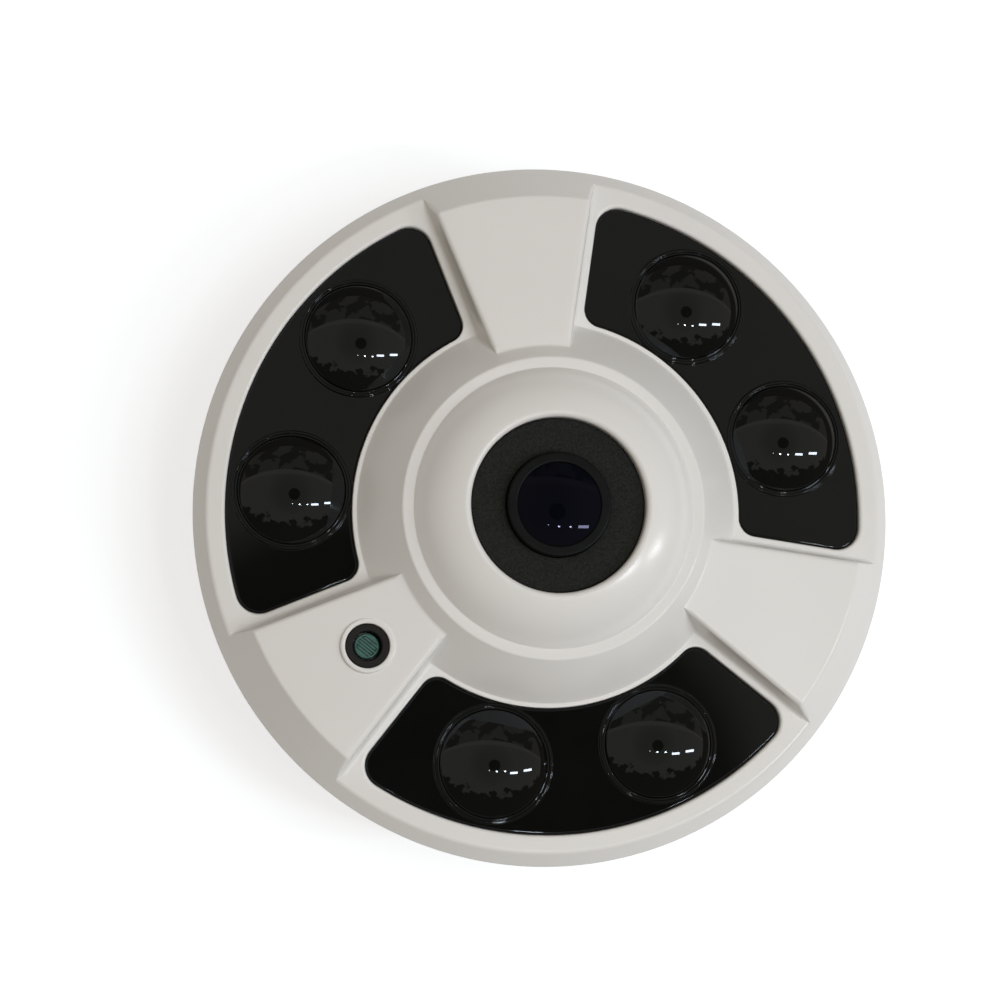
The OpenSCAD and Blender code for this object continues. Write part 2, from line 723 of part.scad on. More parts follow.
// Cast bowl with a floor over the mounting plate and a spigot that enters the cover
module rear_shell() {
    color("whitesmoke") difference() {
        union() {
            rotate_extrude() difference() {
                shell_section();
                translate([seal_c_r - seal_r - seal_gap, seal_z - seal_r - seal_gap])
                    square([rim_r, seal_d + 2 * seal_gap]);
            }
            at_angles(panel_angles) translate([cover_screw_r, 0, floor_z])
                cylinder(h = floor_t + cover_boss_h, r = cover_boss_r);
            intersection() {
                translate([shell_base_r - shell_wall - wall_t, 0, lock_screw_z]) rotate([0, 90, 0])
                    cylinder(h = shell_wall + wall_t, r = lock_boss_r);
                translate([0, 0, ceiling_gap]) cylinder(h = floor_z, r = shell_base_r - shell_wall / 2);
            }
        }
        translate([0, 0, floor_z - cut_over])
            cylinder(h = floor_t + 2 * cut_over, r = grommet_neck_r + screw_gap);
        at_angles(window_angles) translate([stud_circle_r, 0, floor_z - cut_over])
            cylinder(h = floor_t + 2 * cut_over, r = stud_rivet_r + seal_gap);
        at_angles(panel_angles) translate([cover_screw_r, 0, 0]) {
            translate([0, 0, floor_z - cut_over])
                cylinder(h = floor_t + cover_boss_h + 2 * cut_over, r = big_screw_r + screw_gap);
            translate([0, 0, floor_z - cut_over])
                cylinder(h = screw_hollow + cut_over, r = big_screw_r * screw_head_shares[0] + screw_gap);
        }
        // thread of the locking screw
        translate([plate_r, 0, lock_screw_z]) rotate([0, 90, 0])
            cylinder(h = rim_r, r = big_screw_r + seal_gap);
        // notch for a cable that leaves sideways
        block(0, -shell_base_r, -cut_over, notch_w, 2 * (shell_wall + wall_t), notch_h + cut_over);
    }
}

// Half section of the rear shell: curved side, floor and spigot
module shell_section() {
    difference() {
        intersection() {
            translate(shell_c) circle(shell_curve);
            translate([0, ceiling_gap]) square([rim_r, shell_top_z - ceiling_gap]);
        }
        intersection() {
            translate(shell_c) circle(shell_curve - shell_wall);
            union() {
                square([rim_r, floor_z]);
                translate([0, floor_top_z]) square([rim_r, shell_top_z]);
            }
        }
    }
    translate([spigot_in_r, shell_top_z - spigot_root])
        square([shell_wall, spigot_root + spigot_h]);
}

// Rubber grommet clipped round the edge of the floor's hole
module cable_grommet() {
    color("dimgray") difference() {
        union() {
            translate([0, 0, grommet_low_z])
                cylinder(h = floor_t + 2 * grommet_flange_t, r = grommet_neck_r);
            tube(grommet_low_z, grommet_flange_t, grommet_r, grommet_bore_r);
            tube(floor_top_z, grommet_flange_t, grommet_r, grommet_bore_r);
        }
        translate([0, 0, grommet_low_z - cut_over])
            cylinder(h = floor_t + 2 * grommet_flange_t + 2 * cut_over, r = grommet_bore_r);
    }
}

// Set screw through the rear shell's skirt, turned back clear of the plate's lug
module locking_screw() {
    color("silver") difference() {
        translate([lock_screw_tip_r, 0, lock_screw_z]) rotate([0, 90, 0])
            cylinder(h = lock_screw_l, r = big_screw_r);
        translate([lock_screw_tip_r + lock_screw_l / 2, 0, lock_screw_z]) rotate([0, 90, 0])
            cylinder(h = lock_screw_l, r = big_screw_r / 2, $fn = 6);
    }
}

// Seal cord in the spigot's groove
module body_seal() {
    color("dimgray") rotate_extrude() translate([seal_c_r, seal_z]) circle(seal_r);
}

// Screws from the back through the floor into the cover's posts
module cover_screws() {
    color("silver") at_angles(panel_angles) translate([cover_screw_r, 0, floor_z + screw_hollow])
        mirror([0, 0, 1]) pan_screw(0, big_screw_r, floor_t + cover_boss_h - screw_hollow + screw_bite);
}

// Front cover

// Moulded cover: nose, cone, window frames, raised panels, rim, and posts for the screws
module front_cover() {
    color([0.89, 0.88, 0.87]) difference() {
        union() {
            difference() {
                union() {
                    rotate_extrude() cover_outline();
                    at_angles(panel_angles) panel_block();
                }
                rotate_extrude() cover_hollow();
                at_angles(panel_angles) panel_core();
            }
            at_angles(panel_angles) translate([cover_screw_r, 0, cover_boss_top_z])
                cylinder(h = panel_top(cover_screw_r) - wall_t / 2 - cover_boss_top_z, r = cover_post_r);
            rotate(sensor_angle) translate([sensor_r, 0, panel_top(sensor_r) - wall_t / 2])
                cylinder(h = wall_t / 2 + sensor_lip_h, r = sensor_hole_r + sensor_lip_w);
        }
        at_angles(window_angles) {
            translate([0, 0, ledge_z]) linear_extrude(frame_t) window_outline();
            translate([0, 0, frame_under_z - cut_over]) linear_extrude(frame_t)
                window_outline(-window_ledge);
            for (s = [-1, 1]) rotate(s * lamp_screw_spread)
                translate([lamp_screw_r, 0, frame_under_z - cut_over])
                    cylinder(h = lamp_screw_l - lamp_board_t + cut_over, r = board_screw_r + seal_gap);
        }
        at_angles(panel_angles) translate([cover_screw_r, 0, cover_boss_top_z - cut_over])
            cylinder(h = screw_bite + 2 * cut_over, r = big_screw_r + seal_gap);
        rotate(sensor_angle) translate([sensor_r, 0, frame_under_z])
            cylinder(h = nose_h, r = sensor_hole_r);
    }
}

// Half section of the cover's outside, down to the parting line
module cover_outline() {
    difference() {
        union() {
            polygon([
                [0, parting_z], skirt_foot, round_from(skirt_foot, rim_corner, frame_edge, rim_round),
                round_to(skirt_foot, rim_corner, frame_edge, rim_round), frame_edge,
                [cone_foot_r, frame_z], [land_out_r, land_z], [0, land_z]
            ]);
            translate(round_c(skirt_foot, rim_corner, frame_edge, rim_round))
                circle(rim_round + corner_overlap);
            nose_section();
        }
        translate([0, nose_floor_z]) square([nose_hole_r, nose_h]);
        translate([0, parting_z - cut_over]) square([barrel_hole_r, nose_z]);
    }
}

// Rounded flank of the nose and its inner lip
module nose_section() {
    intersection() {
        translate(nose_c) circle(nose_round);
        polygon([
            nose_lip_c, nose_lip_c + 2 * nose_lip * nose_touch_dir,
            [land_out_r, nose_z + nose_lip], [land_out_r, land_z - wall_t],
            [nose_lip_c[0], land_z - wall_t]
        ]);
    }
    translate(nose_lip_c) circle(nose_lip);
    translate([nose_hole_r, land_z - wall_t])
        square([nose_lip, nose_lip_c[1] - land_z + wall_t]);
}

// Half section of the space inside the cover
module cover_hollow() {
    polygon([
        [0, parting_z - cut_over], [skirt_in_r, parting_z - cut_over],
        [skirt_in_r, frame_under_z], [cone_r(frame_z, wall_t), frame_under_z],
        [cone_r(frame_z, wall_t), frame_z],
        [cone_r(land_z - wall_t, wall_t), land_z - wall_t],
        [land_in_r - wall_t, land_z - wall_t],
        [land_in_r - wall_t, nose_floor_under_z], [0, nose_floor_under_z]
    ]);
}

// One raised panel on the X axis, with drafted sides; its outer slope runs on into the rim's bevel
module panel_block() {
    top_in = [panel_in_r, panel_top(panel_in_r)];
    top_out = [panel_r, panel_top(panel_r)];
    intersection() {
        rotate_extrude() {
            polygon([
                [panel_in_r, frame_z - wall_t], top_in,
                round_from(top_in, top_out, frame_edge, panel_round),
                round_to(top_in, top_out, frame_edge, panel_round), frame_edge,
                [frame_edge_r, frame_z - wall_t]
            ]);
            translate(round_c(top_in, top_out, frame_edge, panel_round))
                circle(panel_round + corner_overlap);
        }
        panel_wedge();
    }
}

// Hollow under a raised panel
module panel_core() {
    intersection() {
        rotate_extrude() polygon([
            [core_in_r, frame_under_z - cut_over], [core_in_r, panel_top(core_in_r) - wall_t],
            [core_out_r, panel_top(core_out_r) - wall_t], [core_out_r, frame_under_z - cut_over]
        ]);
        panel_wedge(wall_t);
    }
}

// Windows and lamps

// Dark plate with two hollow domes
module ir_window(i) {
    color([0.08, 0.08, 0.08]) rotate(window_angles[i]) difference() {
        union() {
            translate([0, 0, window_under_z]) linear_extrude(window_t) window_outline(-window_gap);
            at_angles([-lamp_tilt, lamp_tilt]) translate([lamp_r, 0, 0]) {
                translate([0, 0, window_top_z - window_t / 2])
                    cylinder(h = dome_ring_h + window_t / 2, r = dome_ring_r);
                intersection() {
                    translate([0, 0, dome_c_z]) sphere(dome_curve);
                    translate([0, 0, window_top_z]) cylinder(h = dome_curve, r = dome_ring_r);
                }
            }
        }
        at_angles([-lamp_tilt, lamp_tilt]) translate([lamp_r, 0, 0]) {
            intersection() {
                translate([0, 0, dome_c_z]) sphere(dome_curve - dome_wall);
                translate([0, 0, window_under_z]) cylinder(h = dome_curve, r = dome_hole_r);
            }
            translate([0, 0, window_under_z - cut_over]) cylinder(h = window_t + cut_over, r = dome_hole_r);
        }
    }
}

// Thin seal between a window and its ledge
module window_seal(i) {
    color("black") rotate(window_angles[i]) translate([0, 0, ledge_z]) linear_extrude(window_seal_t)
        difference() {
            window_outline(-window_gap);
            window_outline(-window_ledge);
        }
}

// Aluminium ring board that carries the six lamps and the light sensor
module lamp_board() {
    color("lightgray") difference() {
        tube(lamp_board_under_z, lamp_board_t, lamp_board_out_r, lamp_board_in_r);
        at_angles(panel_angles) translate([cover_screw_r, 0, lamp_board_under_z - cut_over])
            cylinder(h = lamp_board_t + 2 * cut_over, r = cover_post_r + screw_gap);
        at_angles(window_angles) for (s = [-1, 1]) rotate(s * lamp_screw_spread)
            translate([lamp_screw_r, 0, lamp_board_under_z - cut_over])
                cylinder(h = lamp_board_t + 2 * cut_over, r = board_screw_r + screw_gap);
        rotate(sensor_angle) translate([sensor_r, 0, lamp_board_under_z - cut_over])
            for (s = [-1, 1]) translate([0, s * lead_pitch / 2, 0])
                cylinder(h = lamp_board_t + 2 * cut_over, r = lead_d / 2 + seal_gap);
    }
}

// One lamp: a square base with four dies under a clear bead
module lamp(i) {
    rotate(lamp_angle(i)) translate([lamp_r, 0, frame_under_z]) {
        color("whitesmoke") block(0, 0, 0, lamp_side, lamp_side, lamp_base_h);
        color("lightyellow") translate([0, 0, lamp_base_h]) intersection() {
            sphere(lamp_bead_d / 2);
            cylinder(h = lamp_bead_d, r = lamp_bead_d);
        }
    }
}

// Screws that hold the lamp board against the frames
module lamp_board_screws() {
    color("silver") at_angles(window_angles) for (s = [-1, 1]) rotate(s * lamp_screw_spread)
        translate([lamp_screw_r, 0, lamp_board_under_z])
            mirror([0, 0, 1]) pan_screw(0, board_screw_r, lamp_screw_l - screw_gap);
}

// Light-dependent resistor: a disc with two leads soldered to the lamp board
module light_sensor() {
    rotate(sensor_angle) translate([sensor_r, 0, 0]) {
        color("cadetblue") translate([0, 0, cell_face_z - cell_t]) cylinder(h = cell_t, r = cell_d / 2);
        color("silver") for (s = [-1, 1]) translate([0, s * lead_pitch / 2, lamp_board_under_z])
            cylinder(h = cell_face_z - cell_t - lamp_board_under_z, r = lead_d / 2);
    }
}

// Black sleeve that keeps the lamps' light off the sensor
module light_sensor_sleeve() {
    color("black") rotate(sensor_angle) translate([sensor_r, 0, 0]) difference() {
        union() {
            translate([0, 0, sensor_roof_z - sleeve_flange_t - sleeve_tail])
                cylinder(h = sleeve_top_z - sensor_roof_z + sleeve_flange_t + sleeve_tail, r = sleeve_r);
            translate([0, 0, sensor_roof_z - sleeve_flange_t])
                cylinder(h = sleeve_flange_t, r = sleeve_r + sleeve_flange_w);
        }
        translate([0, 0, lamp_board_under_z]) cylinder(h = nose_z, r = sleeve_in_r);
    }
}

// Lens

// Soft ring between the lens and the nose
module lens_foam_ring() {
    color([0.12, 0.12, 0.11])
        tube(nose_floor_z, foam_t, nose_hole_r - foam_gap, head_r + foam_gap);
}

// Barrel: head, neck, thread, and a stepped bore with a shoulder for each glass
module lens_barrel() {
    color([0.1, 0.1, 0.1]) rotate_extrude() polygon([
        [front_glass_r + glass_gap, front_seat_z], [front_glass_r + glass_gap, lens_top_z - head_edge],
        [front_glass_r + glass_gap + head_rim, lens_top_z],
        [head_r - head_edge, lens_top_z], [head_r, lens_top_z - head_edge],
        [head_r, head_z + head_edge], [neck_r, head_z], [neck_r, neck_z], [thread_r, neck_z],
        [thread_r, thread_z], [rear_glass_r + glass_gap, thread_z],
        [rear_glass_r + glass_gap, rear_seat_z], [light_path_r, rear_seat_z], [light_path_r, head_z],
        [middle_glass_r + glass_gap, head_z], [middle_glass_r + glass_gap, front_seat_z]
    ]);
}

// Front glass: domed outside, hollow behind
module front_glass() {
    edge_z = lens_top_z - head_rim;
    sag = front_glass_curve - sqrt(front_glass_curve ^ 2 - front_glass_r ^ 2);
    color([0.1, 0.1, 0.2]) rotate_extrude() difference() {
        intersection() {
            translate([0, edge_z + sag - front_glass_curve]) circle(front_glass_curve);
            translate([0, front_seat_z]) square([front_glass_r, nose_h]);
        }
        translate([0, front_seat_z - front_glass_hollow / 2]) circle(front_glass_hollow);
    }
}

// Middle glass: domed towards the front
module middle_glass() {
    color([0.75, 0.85, 0.9]) translate([0, 0, head_z]) intersection() {
        cylinder(h = middle_glass_t, r = middle_glass_r);
        translate([0, 0, middle_glass_t - middle_glass_d]) sphere(middle_glass_d);
    }
}

// Rear glass: domed on both sides, held by a threaded ring
module rear_glass() {
    bulge = rear_glass_d;
    color([0.75, 0.85, 0.9]) translate([0, 0, rear_seat_z - rear_glass_t]) intersection() {
        cylinder(h = rear_glass_t, r = rear_glass_r);
        translate([0, 0, bulge]) sphere(bulge);
        translate([0, 0, rear_glass_t - bulge]) sphere(bulge);
    }
}

// Ring that holds the rear glass in the barrel
module rear_glass_ring() {
    color("black") tube(rear_seat_z - rear_glass_t - rear_ring_t, rear_ring_t,
        rear_glass_r, rear_glass_r - rear_ring_w);
}

// Ring that locks the lens thread against the holder
module lens_lock_ring() {
    color("darkgray") difference() {
        tube(lock_ring_z, lock_ring_t, holder_r, holder_bore_r);
        for (a = [0, 90]) rotate(a)
            block(0, 0, lock_ring_z + lock_ring_t / 2, 2 * holder_r + cut_over, lock_ring_t, lock_ring_t);
    }
}

// Holder: a foot plate that covers the filter unit, and a threaded tube for the lens
module lens_holder() {
    color([0.15, 0.15, 0.15]) difference() {
        union() {
            translate([-unit_x, unit_low_y, holder_z])
                cube([2 * unit_x, unit_high_y - unit_low_y, holder_plate_t]);
            translate([0, 0, holder_z]) cylinder(h = holder_h, r = holder_r);
            for (a = [0, 90, 180, 270]) rotate(a)
                translate([0, -board_screw_r, holder_z])
                    cube([cavity_y + holder_wall + board_screw_r, board_screw_d, holder_h / 2]);
        }
        translate([0, 0, holder_z - cut_over])
            cylinder(h = holder_h + 2 * cut_over, r = holder_bore_r);
        unit_screw_places() translate([0, 0, holder_z - cut_over])
            cylinder(h = holder_plate_t + 2 * cut_over, r = board_screw_r + screw_gap);
    }
}

// Places of the four screws through the holder, the filter unit and the sensor board
module unit_screw_places() {
    for (x = [-unit_screw_x, unit_screw_x], y = [unit_screw_low_y, unit_screw_high_y])
        translate([x, y, 0]) children();
}

// Screws from the holder's plate down into the sensor board
module holder_screws() {
    color("silver") unit_screw_places() translate([0, 0, holder_z + holder_plate_t])
        pan_screw(0, board_screw_r, holder_plate_t + unit_h + sensor_board_t - screw_gap);
}

// Day and night filter

// Base: a shallow box with the slide's track, the rotor's well and the coil's bay
module filter_unit_base() {
    well_top = unit_h + cut_over;
    color([0.2, 0.2, 0.2]) difference() {
        translate([-unit_x, unit_low_y, unit_z])
            cube([2 * unit_x, unit_high_y - unit_low_y, unit_h]);
        // track of the slide and room for its ear
        block(0, 0, unit_z + unit_floor_t, 2 * cavity_x, 2 * cavity_y, well_top);
        translate([-filter_travel / 2 - ear_half - end_gap, 0, unit_z + unit_floor_t])
            cube([filter_travel + 2 * ear_half + 2 * end_gap, ear_y + end_gap, well_top]);
        // room for the arm's swing
        translate([-crank_r, 0, arm_z - arm_gap]) cube([2 * crank_r, rotor_y, well_top]);
        // well of the rotor, open to the poles of the yoke
        translate([0, rotor_y, unit_z + rotor_floor_t]) cylinder(h = well_top, r = magnet_r + magnet_gap);
        block(0, rotor_y, coil_z - yoke_h / 2, 2 * (yoke_in_x + yoke_t + seal_gap),
            2 * magnet_r, well_top);
        // bay of the coil and of the yoke
        translate([-yoke_in_x - yoke_t - seal_gap, rotor_y, coil_z - yoke_h / 2])
            cube([2 * (yoke_in_x + yoke_t + seal_gap), coil_y - rotor_y, well_top]);
        block(0, coil_y, coil_z - coil_r - coil_cheek_w, coil_l + end_gap,
            2 * (coil_r + coil_cheek_w + seal_gap), well_top);
        // light path and pocket over the image sensor
        block(0, 0, unit_z - cut_over, filter_side - slide_rim / 2, filter_side - slide_rim / 2, well_top);
        block(0, 0, unit_z - cut_over, imager_side + imager_gap, imager_side + imager_gap,
            imager_pocket_h + cut_over);
        translate([0, rotor_y, unit_z - cut_over]) cylinder(h = well_top, r = axle_r + seal_gap / 2);
        unit_screw_places() translate([0, 0, unit_z - cut_over])
            cylinder(h = unit_h + 2 * cut_over, r = board_screw_r + screw_gap);
    }
}

// Slide with two square seats and an ear with the crank's slot
module filter_slide() {
    opening = filter_side - slide_rim / 2;
    color("dimgray") translate([0, 0, slide_z]) difference() {
        union() {
            translate([slide_low_x, -slide_half_w, 0])
                cube([slide_high_x - slide_low_x, 2 * slide_half_w, slide_t]);
            translate([ear_x - ear_half, 0, 0]) cube([2 * ear_half, ear_y, slide_t]);
        }
        for (x = [0, -filter_travel]) {
            block(x, 0, -cut_over, opening, opening, slide_t + 2 * cut_over);
            block(x, 0, slide_t - filter_glass_t, filter_side + seal_gap, filter_side + seal_gap,
                slide_t);
        }
        translate([ear_x - slot_half, pin_low_y - pin_r, -cut_over])
            cube([2 * slot_half, pin_high_y - pin_low_y + 2 * slot_half, slide_t + 2 * cut_over]);
    }
}

// One square filter glass at x in the slide
module filter_glass(x) {
    block(x, 0, slide_z + slide_t - filter_glass_t, filter_side, filter_side, filter_glass_t);
}

module ir_cut_glass() {
    color([0.85, 0.3, 0.4]) filter_glass(0);
}

module clear_glass() {
    color([0.8, 0.9, 0.9]) filter_glass(-filter_travel);
}

// Magnet that turns in the well, with a running bore
module rotor_magnet() {
    color("gray") translate([0, rotor_y, 0]) tube(magnet_z, magnet_h, magnet_r, axle_r + axle_gap);
}

// Arm on the magnet, with the crank pin that drives the slide
module rotor_arm() {
    color("ivory") translate([0, rotor_y, 0]) {
        difference() {
            union() {
                translate([0, 0, arm_z]) cylinder(h = arm_t, r = rotor_hub_r);
                rotate(-90 - arm_swing / 2) {
                    translate([0, -pin_r, arm_z]) cube([crank_r, crank_pin_d, arm_t]);
                    translate([crank_r, 0, slide_z + arm_gap])
                        cylinder(h = arm_z + arm_t - slide_z - arm_gap, r = pin_r);
                }
            }
            translate([0, 0, arm_z - cut_over])
                cylinder(h = arm_t + 2 * cut_over, r = axle_r + axle_gap);
        }
    }
}

// Steel axle of the rotor
module rotor_axle() {
    color("silver") translate([0, rotor_y, unit_z]) cylinder(h = unit_h, r = axle_r);
}

// Iron yoke: a bar through the coil and a pole on each side of the magnet
module yoke() {
    low_z = coil_z - yoke_h / 2;
    color("slategray") {
        for (s = [-1, 1]) translate([s * (yoke_in_x + yoke_t / 2), 0, 0])
            block(0, (rotor_y + coil_y) / 2, low_z, yoke_t, coil_y - rotor_y + yoke_t, yoke_h);
        block(0, coil_y, low_z, 2 * yoke_in_x + yoke_t, yoke_t, yoke_h);
    }
}

// Copper coil on a bobbin round the yoke's bar
module coil() {
    inner_l = 2 * yoke_in_x - seal_gap;
    color("peru") difference() {
        translate([-inner_l / 2, coil_y, coil_z]) rotate([0, 90, 0]) {
            cylinder(h = inner_l, r = coil_r);
            cylinder(h = coil_cheek_t, r = coil_r + coil_cheek_w);
            translate([0, 0, inner_l - coil_cheek_t])
                cylinder(h = coil_cheek_t, r = coil_r + coil_cheek_w);
        }
        block(0, coil_y, coil_z - yoke_h / 2 - seal_gap, coil_l + coil_d, yoke_t + 2 * seal_gap,
            yoke_h + 2 * seal_gap);
    }
}

// Electronics

// Image sensor package with its cover glass
module image_sensor() {
    glass_h = imager_h / 3;
    color("darkslategray") block(0, 0, unit_z, imager_side, imager_side, imager_h - glass_h);
    color("lightblue") block(0, 0, unit_z + imager_h - glass_h, imager_side - imager_h,
        imager_side - imager_h, glass_h);
}

// Sensor board under the filter unit
module sensor_board() {
    color("darkgreen") difference() {
        block(0, sensor_board_y, sensor_board_z, sensor_board_w, sensor_board_l, sensor_board_t);
        at_corners(sensor_spacer_x, sensor_board_y, sensor_spacer_y)
            translate([0, 0, sensor_board_z - cut_over])
                cylinder(h = sensor_board_t + 2 * cut_over, r = board_screw_r + screw_gap);
        unit_screw_places() translate([0, 0, sensor_board_z - cut_over])
            cylinder(h = sensor_board_t + 2 * cut_over, r = board_screw_r + screw_gap);
    }
}

// A six-sided brass spacer with a bore for a screw
module spacer(z, h) {
    translate([0, 0, z]) difference() {
        cylinder(h = h, r = spacer_r, $fn = 6);
        translate([0, 0, -cut_over]) cylinder(h = h + 2 * cut_over, r = board_screw_r + seal_gap);
    }
}

module sensor_board_spacers() {
    color("goldenrod") at_corners(sensor_spacer_x, sensor_board_y, sensor_spacer_y)
        spacer(main_board_top_z, sensor_spacer_h);
}

module sensor_board_screws() {
    color("silver") at_corners(sensor_spacer_x, sensor_board_y, sensor_spacer_y)
        pan_screw(unit_z, board_screw_r, sensor_board_t + sensor_spacer_h - screw_gap);
}

// Round main board
module main_board() {
    color("seagreen") difference() {
        translate([0, 0, main_board_z]) cylinder(h = main_board_t, r = main_board_r);
        at_corners(main_spacer_x, 0, main_spacer_x)
            translate([0, 0, main_board_z - cut_over])
                cylinder(h = main_board_t + 2 * cut_over, r = board_screw_r + screw_gap);
        // hole that the cable passes on its way to the sockets
        translate([0, 0, main_board_z - cut_over])
            cylinder(h = main_board_t + 2 * cut_over, r = board_hole_r);
    }
}

module main_board_spacers() {
    color("goldenrod") at_corners(main_spacer_x, 0, main_spacer_x)
        spacer(floor_top_z, main_spacer_h);
}

module main_board_screws() {
    color("silver") at_corners(main_spacer_x, 0, main_spacer_x)
        pan_screw(main_board_top_z, board_screw_r, main_board_t + spacer_screw_l);
}

// Processor under the main board
module processor() {
    color([0.1, 0.1, 0.1]) block(0, chip_y, main_board_z - chip_h, chip_side, chip_side, chip_h);
}

// Soft pad that takes the processor's heat to the floor
module thermal_pad() {
    color("lightsteelblue")
        block(0, chip_y, floor_top_z, chip_side, chip_side, main_spacer_h - chip_h);
}

module memory_chips() {
    color([0.1, 0.1, 0.1]) for (s = [-1, 1])
        block(s * memory_pitch / 2, memory_y, main_board_top_z, memory_w, memory_l, memory_h);
}

// Isolating transformer of the network supply
module network_transformer() {
    color([0.15, 0.15, 0.15])
        block(transformer_x, 0, main_board_top_z, transformer_w, transformer_l, transformer_h);
}

module capacitors() {
    color("darkslateblue") for (i = [-1, 0, 1])
        translate([capacitor_x, i * capacitor_pitch, main_board_top_z])
            cylinder(h = capacitor_h, r = capacitor_r);
}

// Two open sockets for the cable's plugs
module cable_sockets() {
    color("ivory") for (s = [-1, 1]) difference() {
        block(s * socket_pitch / 2, socket_y, main_board_top_z, socket_w, socket_l, socket_h);
        block(s * socket_pitch / 2, socket_y, main_board_top_z + socket_wall,
            socket_w - 2 * socket_wall, socket_l - 2 * socket_wall, socket_h);
    }
}

mounting_plate();
rear_shell();
bayonet_studs();
cable_grommet();
locking_screw();
body_seal();
cover_screws();
front_cover();
ir_window(0);  // ir_window_1
ir_window(1);  // ir_window_2
ir_window(2);  // ir_window_3
window_seal(0);  // window_seal_1
window_seal(1);  // window_seal_2
window_seal(2);  // window_seal_3
lamp_board();
lamp(0);  // lamp_1
lamp(1);  // lamp_2
lamp(2);  // lamp_3
lamp(3);  // lamp_4
lamp(4);  // lamp_5
lamp(5);  // lamp_6
lamp_board_screws();
light_sensor();
light_sensor_sleeve();
lens_foam_ring();
lens_barrel();
front_glass();
middle_glass();
rear_glass();
rear_glass_ring();
lens_lock_ring();
lens_holder();
holder_screws();
filter_unit_base();
filter_slide();
ir_cut_glass();
clear_glass();
rotor_magnet();
rotor_arm();
rotor_axle();
yoke();
coil();
image_sensor();
sensor_board();
sensor_board_spacers();
sensor_board_screws();
main_board();
main_board_spacers();
main_board_screws();
processor();
thermal_pad();
memory_chips();
network_transformer();
capacitors();
cable_sockets();
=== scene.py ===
import cmath
import json
import math

import bmesh
import bpy
from mathutils import Matrix, Vector
from mathutils.geometry import tessellate_polygon


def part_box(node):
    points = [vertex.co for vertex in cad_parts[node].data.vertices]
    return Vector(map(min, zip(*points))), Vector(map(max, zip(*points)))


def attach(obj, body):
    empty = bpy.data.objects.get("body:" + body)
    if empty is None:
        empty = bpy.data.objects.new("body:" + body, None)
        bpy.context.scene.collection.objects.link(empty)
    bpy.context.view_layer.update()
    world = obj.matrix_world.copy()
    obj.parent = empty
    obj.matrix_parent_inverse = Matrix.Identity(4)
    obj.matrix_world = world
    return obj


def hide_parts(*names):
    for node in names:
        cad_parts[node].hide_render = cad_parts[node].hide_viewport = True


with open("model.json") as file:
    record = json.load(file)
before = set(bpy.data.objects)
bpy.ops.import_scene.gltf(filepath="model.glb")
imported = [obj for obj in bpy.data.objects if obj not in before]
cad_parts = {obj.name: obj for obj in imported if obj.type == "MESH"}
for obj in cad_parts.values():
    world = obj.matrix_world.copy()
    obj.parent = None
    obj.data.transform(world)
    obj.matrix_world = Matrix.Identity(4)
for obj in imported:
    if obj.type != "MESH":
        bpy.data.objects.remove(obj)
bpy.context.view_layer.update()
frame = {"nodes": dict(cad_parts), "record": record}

# Shapes are in millimetres and degrees, and their meshes are made in metres
MM = 0.001
BODY = "camera_body"


def heights(node):
    """Lowest and highest point of a CAD node, in millimetres above the plate's ceiling face."""
    low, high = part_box(node)
    return (low / MM).z, (high / MM).z


_, nose_top = heights("front_cover")
window_base, dome_top = heights("ir_window_1")
foam_base, foam_top = heights("lens_foam_ring")
barrel_base, barrel_top = heights("lens_barrel")
_, cell_face = heights("light_sensor")
sleeve_base, sleeve_top = heights("light_sensor_sleeve")

# Front cover: radii and heights of its section, from the hole in the nose outwards
frame_z = 34
hole_r = 17.7
lip_r = 1.1
flank_r = 17
land_in = 28.6
land_out = 30.8
land_z = 43.6
cone_foot = 39.3
frame_edge = 69.7
rim = (72.5, 31.2)
skirt_foot = (72, 26)
skirt_in = 69.6

# Roundings of that section, and how many degrees of the flank they take at its foot
foot_round = 0.35
land_round = 0.7
edge_round = 1.3
rim_round = 1
skirt_round = 0.25
flank_stop = 1.5

# Extra points on the straight wall of the nose's hole, above its floor and below its lip
hole_guards = (0.5, 0.3)

# Level ring of the window frames, between the roundings at its two edges
strip_in = cone_foot + 0.3
strip_out = frame_edge - 1.1

# Raised panels: directions, half angle and draft, and radius and height of the inner and outer edge
panel_angles = (90, 210, 330)
panel_half = 15
panel_draft = 9.5
panel_in = (33.545, 40.5)
panel_out = (65.2, 38.5)

# Roundings of a panel: sides at the top and foot, outer edge, inner edge
panel_top_round = 1.1
panel_foot_round = 1
panel_out_round = 1
panel_in_round = 0.6

# Share of a low side wall that its roundings may take, and how far they reach for their radius
wall_share = 0.95
round_reach = 0.85

# How far a panel's surface runs on past its edges and lies above the cover there, and how much of its
# top, measured from the edge, belongs to the rows of its side
panel_start = panel_in[0] - 1.6
panel_end = frame_edge + 1.4
panel_lift = 0.008
panel_foot_run = 0.1
panel_foot_lift = 0.002
panel_crown_run = 1.9

# Rows of a panel's mesh: first radius, last radius and number, for three stretches
panel_stretches = (
    (panel_in[0] - 1.2, cone_foot + 1.6, 30),
    (cone_foot + 2.2, panel_out[0] - 1.4, 15),
    (panel_out[0] - 1.1, frame_edge + 1.2, 40),
)
panel_columns = 17

# Windows: directions, and half angle, radii, side margin and corners of the openings
window_angles = (30, 150, 270)
window_half = 45
window_out = 66
window_in = 40.2
window_margin = 1.7
corner_out = 4.8
corner_in = 3.8

# Half angle of a window's frame, which runs from panel middle to panel middle
sector_half = 60

# An opening's edge rounding at its inner arc, what it gains towards the outer arc, a narrow seam
# outside it, and the depth of the opening's wall below the window plate
opening_round_in = 0.26
opening_round_gain = 0.44
opening_seam = 0.06
opening_depth = 0.5

# Window plates: gap round them, height, edge rounding, a narrow seam inside it, width of the underside
window_gap = 0.15
window_top = 33
window_edge = 0.45
window_seam = 0.12
window_under = 1.5

